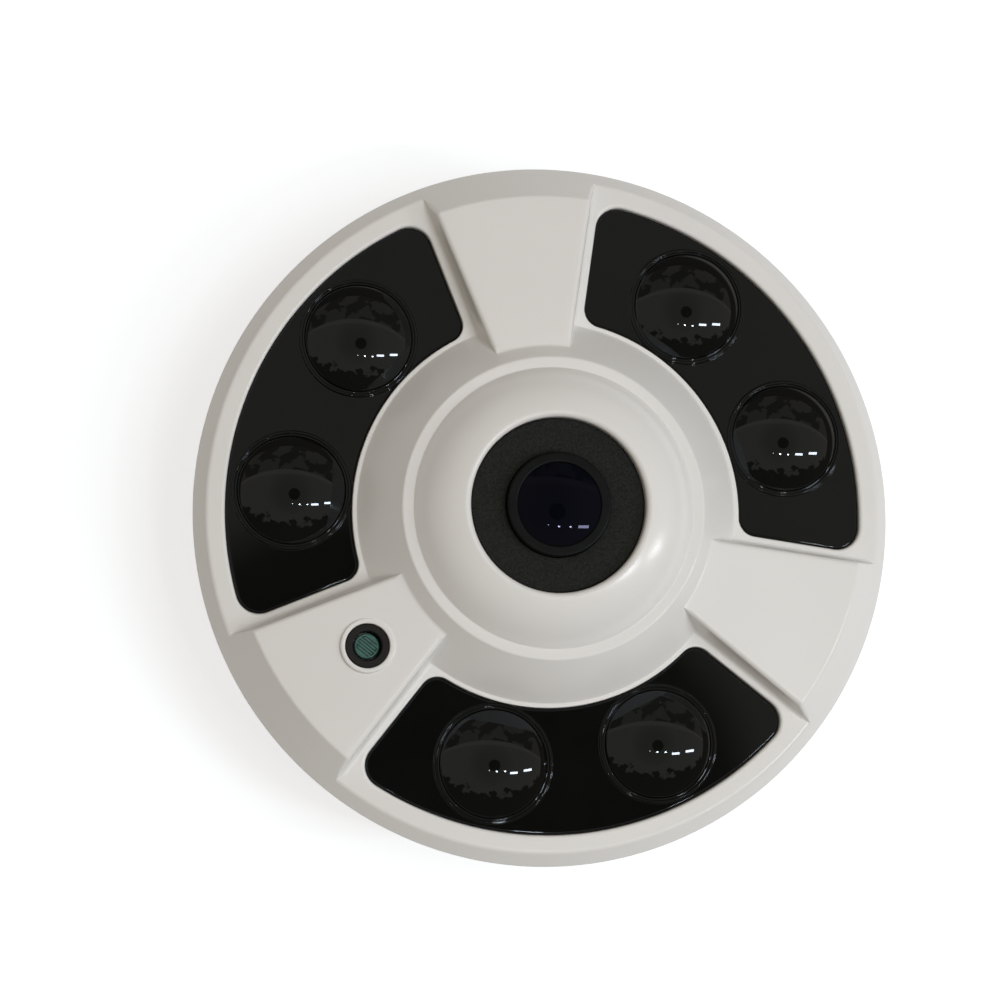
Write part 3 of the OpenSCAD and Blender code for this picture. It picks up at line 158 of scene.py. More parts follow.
# Domes: place, foot radius, the groove and the ring round the foot
dome_angle = 19
dome_at = 52.7
dome_foot = 11.1
dome_groove = 0.45
dome_groove_h = 0.35
dome_groove_lean = 0.06
dome_ring = 12.15
dome_ring_h = 0.5
dome_rounds = (0.1, 0.14, 0.22, 0.25)

# How many degrees above its foot a dome's arc stops, and how the ring's foot runs out into the plate
dome_stop = 0.6
ring_run = 0.6
ring_sink = 0.02

# Light sensor: place, hole in the panel, and the raised lip round the hole
sensor_angle = 210
sensor_at = 46.745
sensor_hole = 4.5
sensor_hole_low = sleeve_base + 2
sensor_lip = 5.5
sensor_lip_h = 0.42

# Roundings of the lip: inner edge, and the most that the outer edge and the foot may have, each with
# the share of the lip's height that it may take
lip_inner_round = 0.35
lip_outer_round, lip_outer_share = 0.6, 0.6
lip_foot_round, lip_foot_share = 0.4, 0.35

# Where the lip meets the panel: distance of the height that it takes, of its end, and how far it sinks
lip_meets = 0.4
lip_run = 0.6
lip_sink = 0.01

# Open place in the panel's mesh round the lip, and the rings that fill it
lip_clear = 1.5
lip_ring_gap = 0.3
lip_rings = 8

# Sleeve and cell of the light sensor
sleeve_bore = 2.9
sleeve_mouth = 3.1
sleeve_mouth_h = 0.35
sleeve_out = 4.4
sleeve_rounds = (0.15, 0.15, 0.25)
cell_r = 2.55
cell_h = 2
cell_flat = 0.3
cell_round = 0.35

# Folded track on the cell: direction, width, height, number and spacing of its fingers, their margin,
# how far it sinks into the face, and how many halves of its width its foot and crown reach out
track_angle = -45
track_w = 0.16
track_h = 0.05
fingers = 6
finger_pitch = 0.58
track_margin = 0.55
track_sink = 0.01
track_foot, track_crown = 1.5, 0.8

# Lens: foam ring, and barrel with head, neck, thread and the seat of the front glass
head_r = 10.5
foam_gap = 0.1
foam_rounds = (0.2, 0.5)
head_l = 8.3
neck_l = 2.3
neck_r = 8
thread_r = 6
glass_seat_r = 8.45
glass_seat_depth = 2.9
barrel_bore = 6.55
thread_bore = 4.65
head_in_round = 0.35
head_out_round = 0.45
head_back_round = 0.3
barrel_round = 0.1

# Points round a turned piece, and the radius of the pinhole that it leaves on its axis
cover_turn = 360
lens_turn = 240
dome_turn = 144
sensor_turn = 96
pinhole = 0.01

# Points along the arcs: nose, domes, edges, and a window's outer, inner and corner arcs
nose_steps = 22
dome_steps = 40
edge_steps = 7
window_out_steps, window_in_steps, corner_steps = 40, 30, 14

# Half angle above which a corner counts as straight, and distance in metres at which points are joined
straight = 89.5
join_distance = 2e-7

# Floor: it keeps the object's shadow, and its glow turns it white for the camera and in reflections
floor_half = 9000
floor_z = -0.3
floor_paint = (0.6, 0.63, 0.67, 1)
floor_glow = 0.65

# Room that the domes mirror. Edges on the ceiling are tangents of the angle from straight up, and the
# least height keeps them finite at the horizon
room_tint = (1, 0.885, 0.73)
ceiling_level, zenith_level = 0.49, 0.36
zenith_start, zenith_full = 0.84, 0.97
beam_azimuth, beam_near, beam_far, beam_level = 80, 0.47, 0.62, 0.12
beam_soft = 0.03
far_dark, far_light = 0.14, 0.34
blotch_scale, blotch_start, blotch_end = 3.5, 0.47, 0.5
room_detail = 2.0
least_height = 0.001
wall_ahead, wall_left, wall_right, wall_behind = 2.6, 3.1, 4, 0.85
wall_soft, wall_side_soft = 0.1, 0.2
shelf_scale, shelf_start, shelf_end, shelf_depth = 6.0, 0.3, 0.7, 0.35
wall_level, low_band_level = 0.1, 0.6
low_band_start, low_band_end = 0.03, 0.06

# Black card round the camera, which the windows mirror: way, half angle, soft edge and brightness
card_way, card_angle, card_soft, card_level = (0.09, -0.05, 1), 7.5, 1, 0.06

# Lamps: azimuth and elevation, distance and size in metres, power in watts
tube_tint = (0.92, 0.95, 1)
lamps = {
    "key_soft": dict(way=(-8, 74), distance=0.7, size=(0.28, 0.28), power=1.28, mirrored=False,
                     tint=(0.84, 0.92, 1)),
    "tube_high": dict(way=(-33, 54), distance=0.9, size=(0.17, 0.04), power=0.85, tint=tube_tint),
    "tube_low": dict(way=(-20, 35), distance=0.9, size=(0.2, 0.04), power=0.9, tint=tube_tint),
    "spot_right": dict(way=(-48, 65), distance=0.5, size=(0.016, 0.009), power=0.07),
    "spot_middle": dict(way=(-73, 72), distance=0.5, size=(0.016, 0.009), power=0.07),
    "spot_left": dict(way=(-108, 74.5), distance=0.5, size=(0.006, 0.006), power=0.01),
}

# Azimuth along which the lamps lie with their length
lamp_turn = -10

# Camera, fitted to the places of the rim, windows, nose and hole in the photo
camera_place = (-0.08619, -0.04297, 0.56006)
camera_turn = (5.9401, -7.6474, -6.8080)
focal_length = 93.6
film_width = 36

# Finishes of the record's slots and of the sensor's track
looks = {
    "cover_white": dict(rough=0.22, vary=0.012, grain=40, bump=0.02, bump_grain=1300),
    "shell_white": dict(rough=0.45, vary=0.015, grain=40, bump=0.015, bump_grain=1200),
    "window_black": dict(rough=0.035, vary=0.25, grain=60, colour=(0.003, 0.003, 0.003),
                         Specular_Tint=(0.8, 0.9, 1.0, 1.0), Specular_IOR_Level=0.47),
    "seal_black": dict(rough=0.7, vary=0.2, bump=0.02),
    "foam_black": dict(rough=0.95, vary=0.4, grain=2200, bump=0.12, bump_grain=3600,
                       Specular_IOR_Level=0.2),
    "sleeve_black": dict(rough=0.5, vary=0.2, bump=0.02, Specular_IOR_Level=0.3),
    "cell_teal": dict(rough=0.3, vary=0.2, grain=900, colour=(0.06, 0.17, 0.145),
                      Coat_Weight=0.6, Coat_Roughness=0.06),
    "track_dark": dict(rough=0.4, vary=0.3, grain=900, colour=(0.012, 0.028, 0.024)),
    "barrel_black": dict(rough=0.4, vary=0.15, grain=300, bump=0.01, colour=(0.006, 0.0065, 0.006),
                         Specular_Tint=(0.8, 0.92, 1.0, 1.0), Specular_IOR_Level=0.14),
    "lens_glass": dict(rough=0.012, vary=0.2, grain=50, colour=(0.002, 0.0025, 0.005),
                       Specular_Tint=(0.66, 0.66, 1.0, 1.0), Specular_IOR_Level=0.1),
    "inner_glass": dict(rough=0.02, vary=0.05, Transmission_Weight=0.9, IOR=1.52),
    "filter_red": dict(rough=0.03, vary=0.08, Transmission_Weight=0.7, IOR=1.52),
    "plate_steel": dict(rough=0.36, metal=1.0, vary=0.08, grain=30, stretch=(1, 14, 1), bump=0.01),
    "screw_steel": dict(rough=0.28, metal=1.0, vary=0.08, grain=400),
    "brass": dict(rough=0.3, metal=1.0, vary=0.08, grain=400),
    "aluminium": dict(rough=0.5, metal=0.3, vary=0.05),
    "board_green": dict(rough=0.4, vary=0.25, grain=500, Coat_Weight=0.4),
    "chip_black": dict(rough=0.55, vary=0.2, grain=700, bump=0.01),
    "pad_grey": dict(rough=0.8, vary=0.1, bump=0.03),
    "plastic_grey": dict(rough=0.5, vary=0.12, bump=0.015),
    "plastic_ivory": dict(rough=0.45, vary=0.05, bump=0.01),
    "lamp_ceramic": dict(rough=0.35, vary=0.05, grain=300),
    "magnet_grey": dict(rough=0.45, metal=0.7, vary=0.15, grain=500),
    "copper": dict(rough=0.3, metal=1.0, vary=0.15, grain=900, stretch=(1, 1, 8)),
    "capacitor_can": dict(rough=0.3, metal=0.4, vary=0.08, grain=300),
    "imager": dict(rough=0.12, vary=0.2, grain=1200, Coat_Weight=1.0),
}

# Noise values between which a colour drifts, the detail of the noises, how the roughness drifts,
# and the strength of the grain
drift_start, drift_end = 0.3, 0.7
drift_detail, grain_detail = 4.0, 3.0
gloss_low, gloss_high = 0.9, 1.12
relief_strength = 0.6

# Profiles and surfaces


def spread(start, end, count):
    """Evenly spaced numbers from start to end, both included."""
    return [start + (end - start) * i / (count - 1) for i in range(count)]


def polar(r, angle, z=None):
    """A point by radius and angle in degrees."""
    a = math.radians(angle)
    place = (r * math.cos(a), r * math.sin(a))
    return place if z is None else (*place, z)


def circle(r, z, count, at=(0, 0)):
    """Points of a level circle."""
    return [
        (at[0] + r * math.cos(a), at[1] + r * math.sin(a), z)
        for a in (2 * math.pi * i / count for i in range(count))
    ]


def arc(centre, radius, start, end, count):
    """Points of an arc in a profile, between two angles in degrees."""
    return [
        (centre[0] + radius * math.cos(a), centre[1] + radius * math.sin(a))
        for a in spread(math.radians(start), math.radians(end), count)
    ]


def rounded(points, radii, count=edge_steps, guard=0.15):
    """A polyline with rounded inner corners and a guard point on the straight beside each arc."""
    line = [complex(*points[0])]
    for before, corner, after, radius in zip(points, points[1:], points[2:], radii):
        b, c, a = complex(*before), complex(*corner), complex(*after)
        to_b, to_a = (b - c) / abs(b - c), (a - c) / abs(a - c)
        half = abs(cmath.phase(to_a / to_b)) / 2
        if radius <= 0 or half > math.radians(straight):
            line.append(c)
            continue
        reach = radius / math.tan(half)
        middle = c + (to_b + to_a) / abs(to_b + to_a) * radius / math.sin(half)
        first, last = c + to_b * reach, c + to_a * reach
        if abs(b - c) > reach + 2 * guard:
            line.append(first + to_b * guard)
        turn = cmath.phase((last - middle) / (first - middle))
        line += [middle + (first - middle) * cmath.rect(1, turn * t) for t in spread(0, 1, count)]
        if abs(a - c) > reach + 2 * guard:
            line.append(last + to_a * guard)
    line.append(complex(*points[-1]))
    return [(p.real, p.imag) for p in line]


def height_on(profile, r):
    """Height of a profile that runs outwards, at the radius r."""
    for (r0, z0), (r1, z1) in zip(profile, profile[1:]):
        if r0 <= r <= r1 and r1 > r0:
            return z0 + (z1 - z0) * (r - r0) / (r1 - r0)
    return profile[-1][1]


def turned(points, angle):
    """Points turned about +Z."""
    spin = Matrix.Rotation(math.radians(angle), 3, "Z")
    return [tuple(spin @ Vector(p)) for p in points]


def weld(mesh):
    """Joins points that lie on each other."""
    work = bmesh.new()
    work.from_mesh(mesh)
    bmesh.ops.remove_doubles(work, verts=work.verts, dist=join_distance)
    work.to_mesh(mesh)
    work.free()


class Skin:
    """Points and faces of one piece, gathered from several surfaces."""

    def __init__(self):
        self.points = []
        self.faces = []

    def grid(self, rows, wrap=False):
        """Quads between rows of equal length; the outside is left of the rows' order."""
        start, width = len(self.points), len(rows[0])
        for row in rows:
            self.points += row
        last = width if wrap else width - 1
        for i in range(len(rows) - 1):
            for j in range(last):
                a, b = start + i * width + j, start + i * width + (j + 1) % width
                self.faces.append((a, a + width, b + width, b))

    def revolve(self, profile, count, at=(0, 0)):
        """A profile of (radius, height) points turned round an upright axis."""
        self.grid([circle(r, z, count, at) for r, z in profile], wrap=True)

    def flat(self, outer, holes=()):
        """A flat face with holes, filled with triangles."""
        loops = [outer, *holes]
        start = len(self.points)
        for loop in loops:
            self.points += loop
        for tri in tessellate_polygon([[Vector(p) for p in loop] for loop in loops]):
            a, b, c = (Vector(self.points[start + i]) for i in tri)
            up = (b - a).cross(c - a).z >= 0
            self.faces.append(tuple(start + i for i in (tri if up else tri[::-1])))

    def made(self, name, material, turn=0):
        """The Blender object, turned about +Z, with its material."""
        mesh = bpy.data.meshes.new(name)
        spin = Matrix.Rotation(math.radians(turn), 3, "Z")
        mesh.from_pydata([spin @ Vector(p) * MM for p in self.points], [], self.faces)
        mesh.materials.append(material)
        thing = bpy.data.objects.new(name, mesh)
        bpy.context.scene.collection.objects.link(thing)
        return thing

    def piece(self, name, slot, nodes=(), body=BODY, turn=0):
        """Makes a smooth piece that rides on a body and may stand for CAD nodes of the same finish."""
        thing = self.made(name, finishes[slot], turn)
        thing.data.validate()
        weld(thing.data)
        thing.data.polygons.foreach_set("use_smooth", [True] * len(thing.data.polygons))
        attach(thing, body)
        if nodes:
            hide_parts(*nodes)


# Shader nodes and finishes


def node(tree, kind, **settings):
    """Adds a shader node and sets its properties, or its sockets by name."""
    made = tree.nodes.new(kind)
    for key, value in settings.items():
        if hasattr(made, key):
            setattr(made, key, value)
        else:
            made.inputs[key.replace("_", " ")].default_value = value
    return made


def give(tree, socket, value):
    """Gives a socket a number, or links another socket to it."""
    if isinstance(value, (int, float)):
        socket.default_value = value
    else:
        tree.links.new(value, socket)


def maths(tree, operation, *values):
    """One arithmetic node on sockets or numbers."""
    made = node(tree, "ShaderNodeMath", operation=operation)
    for socket, value in zip(made.inputs, values):
        give(tree, socket, value)
    return made.outputs[0]


def step(tree, value, start, end, before, after):
    """A number that goes from one value to another while a socket goes from start to end."""
    shift = node(tree, "ShaderNodeMapRange")
    for key, number in zip(("From Min", "From Max", "To Min", "To Max"), (start, end, before, after)):
        give(tree, shift.inputs[key], number)
    tree.links.new(value, shift.inputs["Value"])
    return shift.outputs["Result"]


def noise(tree, place, scale, detail):
    """Noise at a place, as one number."""
    made = node(tree, "ShaderNodeTexNoise", Scale=scale, Detail=detail)
    tree.links.new(place, made.inputs["Vector"])
    return made.outputs["Fac"]


def drifting(tree, drift, base, vary):
    """A colour that drifts with noise."""
    tint = node(tree, "ShaderNodeValToRGB")
    ends = tint.color_ramp.elements
    ends[0].position, ends[1].position = drift_start, drift_end
    ends[0].color = (*[c * (1 - vary) for c in base], 1)
    ends[1].color = (*[min(1, c * (1 + vary)) for c in base], 1)
    tree.links.new(drift, tint.inputs["Fac"])
    return tint.outputs["Color"]


def finish(name, rough, metal=0.0, vary=0.06, grain=90, bump=0.0, bump_grain=900, stretch=(1, 1, 1),
           colour=None, **sockets):
    """A material whose colour and roughness drift with noise, and whose skin has a fine grain."""
    material = bpy.data.materials.new(name)
    material.use_nodes = True
    tree = material.node_tree
    shader = tree.nodes["Principled BSDF"]
    for key, value in sockets.items():
        shader.inputs[key.replace("_", " ")].default_value = value
    shader.inputs["Metallic"].default_value = metal
    scale = node(tree, "ShaderNodeMapping")
    scale.inputs["Scale"].default_value = stretch
    tree.links.new(node(tree, "ShaderNodeTexCoord").outputs["Object"], scale.inputs["Vector"])
    place = scale.outputs["Vector"]
    drift = noise(tree, place, grain, drift_detail)
    base = (colour or colours[name])[:3]
    tree.links.new(drifting(tree, drift, base, vary), shader.inputs["Base Color"])
    gloss = step(tree, drift, 0, 1, rough * gloss_low, min(1, rough * gloss_high))
    tree.links.new(gloss, shader.inputs["Roughness"])
    if bump:
        relief = node(tree, "ShaderNodeBump", Strength=relief_strength, Distance=bump * MM)
        tree.links.new(noise(tree, place, bump_grain, grain_detail), relief.inputs["Height"])
        tree.links.new(relief.outputs["Normal"], shader.inputs["Normal"])
    return material


def finish_nodes():
    """Gives every CAD node the finish of its slot."""
    slot_of = {row["node"]: row["material_slot"] for row in frame["record"]["subparts"]}
    for name, thing in frame["nodes"].items():
        thing.data.materials.clear()
        thing.data.materials.append(finishes[slot_of[name]])


# Front cover


def nose_profile():
    """Half section from the nose's floor over its lip and flank to the flat ring."""
    lip = complex(hole_r + lip_r, nose_top - lip_r)
    foot = complex(land_in, land_z)
    gap = foot - lip
    to_lip, to_foot = flank_r - lip_r, flank_r
    onward = (to_lip ** 2 - to_foot ** 2 + abs(gap) ** 2) / (2 * abs(gap))
    aside = math.sqrt(to_lip ** 2 - onward ** 2)
    centre = lip + gap / abs(gap) * complex(onward, -aside)
    touch = math.degrees(cmath.phase(lip - centre))
    end = math.degrees(cmath.phase(foot - centre))
    above, below = hole_guards
    profile = [(hole_r, foam_base), (hole_r, foam_base + above), (hole_r, lip.imag - below)]
    profile += arc((lip.real, lip.imag), lip_r, 180, touch, nose_steps)
    profile += arc((centre.real, centre.imag), flank_r, touch, end + flank_stop, nose_steps)[1:]
    return profile


def cover_profile():
    """Half section from the end of the flank over the cone, frames and rim to the skirt."""
    return rounded(
        [nose_profile()[-2], (land_in, land_z), (land_out, land_z), (cone_foot, frame_z),
         (frame_edge, frame_z), rim, skirt_foot, (skirt_in, skirt_foot[1])],
        [foot_round, land_round, foot_round, edge_round, rim_round, skirt_round],
    )


def split_profile(profile, low, high):
    """The parts of the cover's profile inside and outside the level ring between two radii."""
    inner = [p for p in profile if p[0] < low and p[1] >= frame_z] + [(low, frame_z)]
    outer = [(high, frame_z)] + [p for p in profile if p[0] > high]
    return inner, outer


def window_loop():
    """Outline of a window round the X axis: points, each with its outward direction."""
    turn = cmath.rect(1, math.radians(window_half))
    reach_out, reach_in = window_out - corner_out, window_in + corner_in
    side_out, side_in = window_margin + corner_out, window_margin + corner_in
    out_c = turn * complex(math.sqrt(reach_out ** 2 - side_out ** 2), -side_out)
    in_c = turn * complex(math.sqrt(reach_in ** 2 - side_in ** 2), -side_in)
    out_a, in_a = math.degrees(cmath.phase(out_c)), math.degrees(cmath.phase(in_c))
    side_a = window_half + 90
    half = [(0j, window_out, 1, a) for a in spread(0, out_a, window_out_steps)[:-1]]
    half += [(out_c, corner_out, 1, a) for a in spread(out_a, side_a, corner_steps)]
    half += [(in_c, corner_in, 1, a) for a in spread(side_a, 180 + in_a, corner_steps)]
    half += [(0j, window_in, -1, a) for a in spread(in_a, 0, window_in_steps)[1:]]
    loop = []
    for centre, radius, side, a in half:
        way = cmath.rect(1, math.radians(a))
        loop.append((centre + radius * way, side * way))
    mirrored = [(p.conjugate(), n.conjugate()) for p, n in loop[1:-1][::-1]]
    return loop + mirrored


def loop_row(loop, grow, z):
    """The outline grown by a distance, at a height; both may be functions of the radius."""
    row = []
    for p, n in loop:
        q = p + n * (grow(abs(p)) if callable(grow) else grow)
        row.append((q.real, q.imag, z(abs(p)) if callable(z) else z))
    return row


def opening_round(r):
    """Edge rounding of a window opening: wider on the outer side."""
    return opening_round_in + opening_round_gain * (r - window_in) / (window_out - window_in)


def window_frame(skin, angle):
    """Flat frame round one window, with the opening's rounded edge."""
    loop = window_loop()
    rows = [loop_row(loop, 0, window_base - opening_depth)]
    for a in spread(0, 90, edge_steps):
        sine, cosine = math.sin(math.radians(a)), math.cos(math.radians(a))
        rows.append(loop_row(loop, lambda r: opening_round(r) * (1 - cosine),
                             lambda r: frame_z - opening_round(r) * (1 - sine)))
    rows.append(loop_row(loop, lambda r: opening_round(r) + opening_seam, frame_z))
    skin.grid([turned(row, angle) for row in rows], wrap=True)
    sector = [polar(strip_out, a, frame_z) for a in range(-sector_half, sector_half + 1)]
    sector += [polar(strip_in, a, frame_z) for a in range(sector_half, -sector_half - 1, -1)]
    skin.flat(turned(sector, angle), [turned(rows[-1], angle)])


def panel_top_profile():
    """Heights of a panel along its middle: cone, small fillet, top, rounded edge, outer slope."""
    slope = (panel_out[1] - frame_z) / (frame_edge - panel_out[0])
    cone_slope = (land_z - frame_z) / (cone_foot - land_out)
    return rounded(
        [(panel_start, panel_in[1] + (panel_in[0] - panel_start) * cone_slope + panel_lift), panel_in,
         panel_out, (panel_end, frame_z - (panel_end - frame_edge) * slope + panel_lift)],
        [panel_in_round, panel_out_round], guard=0.1,
    )


def panel_section(r):
    """One side of a panel's section at radius r, from its foot to its top: (angle, height) pairs."""
    base, top = height_on(base_profile, r), height_on(top_profile, r)
    top = max(top, base + panel_lift)
    lean = math.tan(math.radians(panel_draft))

    def wall(z):
        """Distance along the arc from the panel's middle to its side wall."""
        return r * (math.radians(panel_half) - math.asin((z - frame_z) * lean / r))

    rounds = round_reach * (panel_top_round + panel_foot_round)
    scale = min(1, wall_share * (top - base) / rounds)
    foot, crown = panel_foot_round * scale, panel_top_round * scale
    low = base + panel_foot_lift
    line = rounded([(wall(base) + foot + panel_foot_run, low), (wall(base), low), (wall(top), top),
                    (wall(top) - panel_crown_run, top)], [foot, crown], count=8, guard=0)
    return [(math.degrees(u / r), z) for u, z in line]


def panel_row(r, angle):
    """A panel's whole section at radius r, as a row of points."""
    side = panel_section(r)
    inner, top = side[-1]
    middle = [(a, top) for a in spread(inner, -inner, panel_columns)[1:-1]]
    section = side + middle + [(-a, z) for a, z in side[::-1]]
    return [polar(r, angle + a, z) for a, z in section[::-1]]


def panel(skin, angle):
    """A raised panel with drafted, rounded sides; the light sensor's has a hole in its top."""
    radii = [r for stretch in panel_stretches for r in spread(*stretch)]
    rows = [panel_row(r, angle) for r in radii]
    if angle == sensor_angle:
        open_panel(skin, radii, rows)
    else:
        skin.grid(rows)


def open_panel(skin, radii, rows):
    """The light sensor's panel: rows of points, with rings of their own round the hole."""
    clear = sensor_lip + lip_clear
    first = max(i for i, r in enumerate(radii) if r < sensor_at - clear)
    last = min(i for i, r in enumerate(radii) if r > sensor_at + clear)
    left = len(panel_section(radii[0])) - 1
    right = len(rows[0]) - 1 - left
    skin.grid(rows[:first + 1])
    skin.grid(rows[last:])
    skin.grid([row[:left + 1] for row in rows[first:last + 1]])
    skin.grid([row[right:] for row in rows[first:last + 1]])
    border = [rows[i][left] for i in range(last, first, -1)]
    border += [rows[first][j] for j in range(left, right)]
    border += [rows[i][right] for i in range(first, last)]
    border += [rows[last][j] for j in range(right, left, -1)]
    skin.grid(hole_rings(border[::-1]), wrap=True)


def hole_rings(border):
    """Rings on the panel's top, from the lip of the sensor's hole out to a border."""
    centre = complex(*polar(sensor_at, sensor_angle))
    rings = []
    for t in spread(0, 1, lip_rings):
        ring = []
        for x, y, _ in border:
            way = complex(x, y) - centre
            near = centre + way / abs(way) * (sensor_lip + lip_ring_gap)
            p = near + (complex(x, y) - near) * t
            ring.append((p.real, p.imag, height_on(top_profile, abs(p))))
        rings.append(ring)
    return rings


def sensor_rim(skin):
    """Raised rounded lip round the sensor's hole, with a fillet that follows the sloped panel."""
    centre = polar(sensor_at, sensor_angle)
    lip_top = height_on(top_profile, sensor_at) + sensor_lip_h
    columns = []
    for i in range(sensor_turn):
        way = polar(1, 360 * i / sensor_turn)
        far = height_on(top_profile, abs(complex(*centre) + complex(*way) * (sensor_lip + lip_meets)))
        height = lip_top - far
        line = rounded(
            [(sensor_hole, sensor_hole_low), (sensor_hole, lip_top), (sensor_lip, lip_top),
             (sensor_lip, far), (sensor_lip + lip_run, far - lip_sink)],
            [lip_inner_round, min(lip_outer_round, height * lip_outer_share),
             min(lip_foot_round, height * lip_foot_share)], guard=0,
        )
        columns.append([(centre[0] + r * way[0], centre[1] + r * way[1], z) for r, z in line])
    skin.grid([list(row) for row in zip(*columns)], wrap=True)


def make_cover():
    """Front cover: turned nose, cone, rim and skirt, then window frames, panels and sensor lip."""
    inner, outer = split_profile(cover_profile(), strip_in, strip_out)
    cover = Skin()
    cover.revolve(nose_profile()[:-1] + inner[1:], cover_turn)
    cover.revolve(outer, cover_turn)
    for angle in window_angles:
        window_frame(cover, angle)
    for angle in panel_angles:
        panel(cover, angle)
    sensor_rim(cover)
    cover.piece("cover_front", "cover_white", nodes=["front_cover"])


# Windows and domes


def dome_profile():
    """Half section of a dome with the thin ring and groove round it, from the top outwards."""
    rise = dome_top - window_top - dome_ring_h
    curve = (dome_foot ** 2 + rise ** 2) / (2 * rise)
    foot_angle = math.degrees(math.asin(dome_foot / curve))
    skyline = arc((0, dome_top - curve), curve, 90, 90 - foot_angle + dome_stop, dome_steps)
    ring_top = window_top + dome_ring_h
    ring_in = dome_foot + dome_groove
    groove_z = ring_top - dome_groove_h
    ring = rounded(
        [(dome_foot, groove_z), (ring_in, groove_z), (ring_in + dome_groove_lean, ring_top),
         (dome_ring, ring_top), (dome_ring, window_top), (dome_ring + ring_run, window_top - ring_sink)],
        dome_rounds, count=6, guard=0,
    )
    return [(pinhole, dome_top)] + skyline[1:] + ring


def plate_rows():
    """Rows of a window plate, from its flat top over its rounded edge to its underside."""
    loop = window_loop()
    rows = [loop_row(loop, -window_gap - window_edge - window_seam, window_top)]
    for a in spread(90, 0, edge_steps):
        out = math.cos(math.radians(a)) * window_edge
        fall = window_edge - math.sin(math.radians(a)) * window_edge
        rows.append(loop_row(loop, out - window_gap - window_edge, window_top - fall))
    rows.append(loop_row(loop, -window_gap, window_base))
    rows.append(loop_row(loop, -window_gap - window_under, window_base))
    return rows


def make_window(number, angle):
    """A black window plate with its two domes."""
    window = Skin()
    rows = plate_rows()
    window.grid(rows, wrap=True)
    window.flat(rows[0])
    for side in (-1, 1):
        window.revolve(dome_profile(), dome_turn, at=polar(dome_at, side * dome_angle))
    window.piece(f"window_{number}", "window_black", nodes=[f"ir_window_{number}"], turn=angle)


# Light sensor


def make_sleeve():
    """Black sleeve round the light sensor, with a flared mouth."""
    profile = rounded(
        [(sleeve_bore, sleeve_base), (sleeve_bore, sleeve_top - sleeve_mouth_h),
         (sleeve_mouth, sleeve_top), (sleeve_out, sleeve_top), (sleeve_out, sleeve_base)],
        sleeve_rounds,
    )
    sleeve = Skin()
    sleeve.revolve(profile, sensor_turn, at=polar(sensor_at, sensor_angle))
    sleeve.piece("sensor_sleeve", "sleeve_black", nodes=["light_sensor_sleeve"])


def make_cell():
    """Disc of the light sensor."""
    corners = [(cell_flat, cell_face), (cell_r, cell_face), (cell_r, cell_face - cell_h)]
    profile = [(pinhole, cell_face)] + rounded(corners, [cell_round])
    cell = Skin()
    cell.revolve(profile, sensor_turn, at=polar(sensor_at, sensor_angle))
    cell.piece("sensor_cell", "cell_teal", nodes=["light_sensor"])


def track_points():
    """Corners of the folded track: fingers side by side, joined at alternate ends."""
    points = []
    for i in range(fingers):
        x = (i - (fingers - 1) / 2) * finger_pitch
        half = math.sqrt((cell_r - track_margin) ** 2 - x ** 2)
        ends = [(x, -half), (x, half)]
        points += ends if i % 2 == 0 else ends[::-1]
    return points


def make_track():
    """Dark folded track on the light sensor's face, a low ridge along each stretch."""
    centre = complex(*polar(sensor_at, sensor_angle))
    lie = cmath.rect(1, math.radians(track_angle + 90))
    low, high = cell_face - track_sink, cell_face - track_sink + track_h
    ridge = ((-track_foot, low), (-track_crown, high), (track_crown, high), (track_foot, low))
    corners = [complex(*p) * lie for p in track_points()]
    track = Skin()
    for a, b in zip(corners, corners[1:]):
        way = (b - a) / abs(b - a)
        side = way * 1j * track_w / 2
        ends = [b + way * track_w / 2, a - way * track_w / 2]
        rows = []
        for shift, z in ridge:
            places = [centre + p + side * shift for p in ends]
            rows.append([(p.real, p.imag, z) for p in places])
        track.grid(rows)
    track.piece("sensor_track", "track_dark")


# Lens


def make_foam():
    """Black foam ring round the lens."""
    foam_in, foam_out = head_r + foam_gap, hole_r - foam_gap
    foam = Skin()
    foam.revolve(rounded([(foam_in, foam_base), (foam_in, foam_top), (foam_out, foam_top),
                          (foam_out, foam_base)], foam_rounds, count=8), lens_turn)
    foam.piece("foam_ring", "foam_black", nodes=["lens_foam_ring"])


def make_barrel():
    """Lens barrel: head with the seat of the front glass, neck and thread, down to its rear end."""
    head_low = barrel_top - head_l
    neck_low = head_low - neck_l
    seat = barrel_top - glass_seat_depth
    rounds = [0, 0, head_in_round, head_out_round, head_back_round] + [barrel_round] * 5 + [0]
    barrel = Skin()
    barrel.revolve(rounded(
        [(barrel_bore, head_low), (barrel_bore, seat), (glass_seat_r, seat), (glass_seat_r, barrel_top),
         (head_r, barrel_top), (head_r, head_low), (neck_r, head_low), (neck_r, neck_low),
         (thread_r, neck_low), (thread_r, barrel_base), (thread_bore, barrel_base),
         (thread_bore, head_low), (barrel_bore, head_low)], rounds, count=6), lens_turn)
    barrel.piece("barrel", "barrel_black", nodes=["lens_barrel"])


# Floor, room, lamps and camera


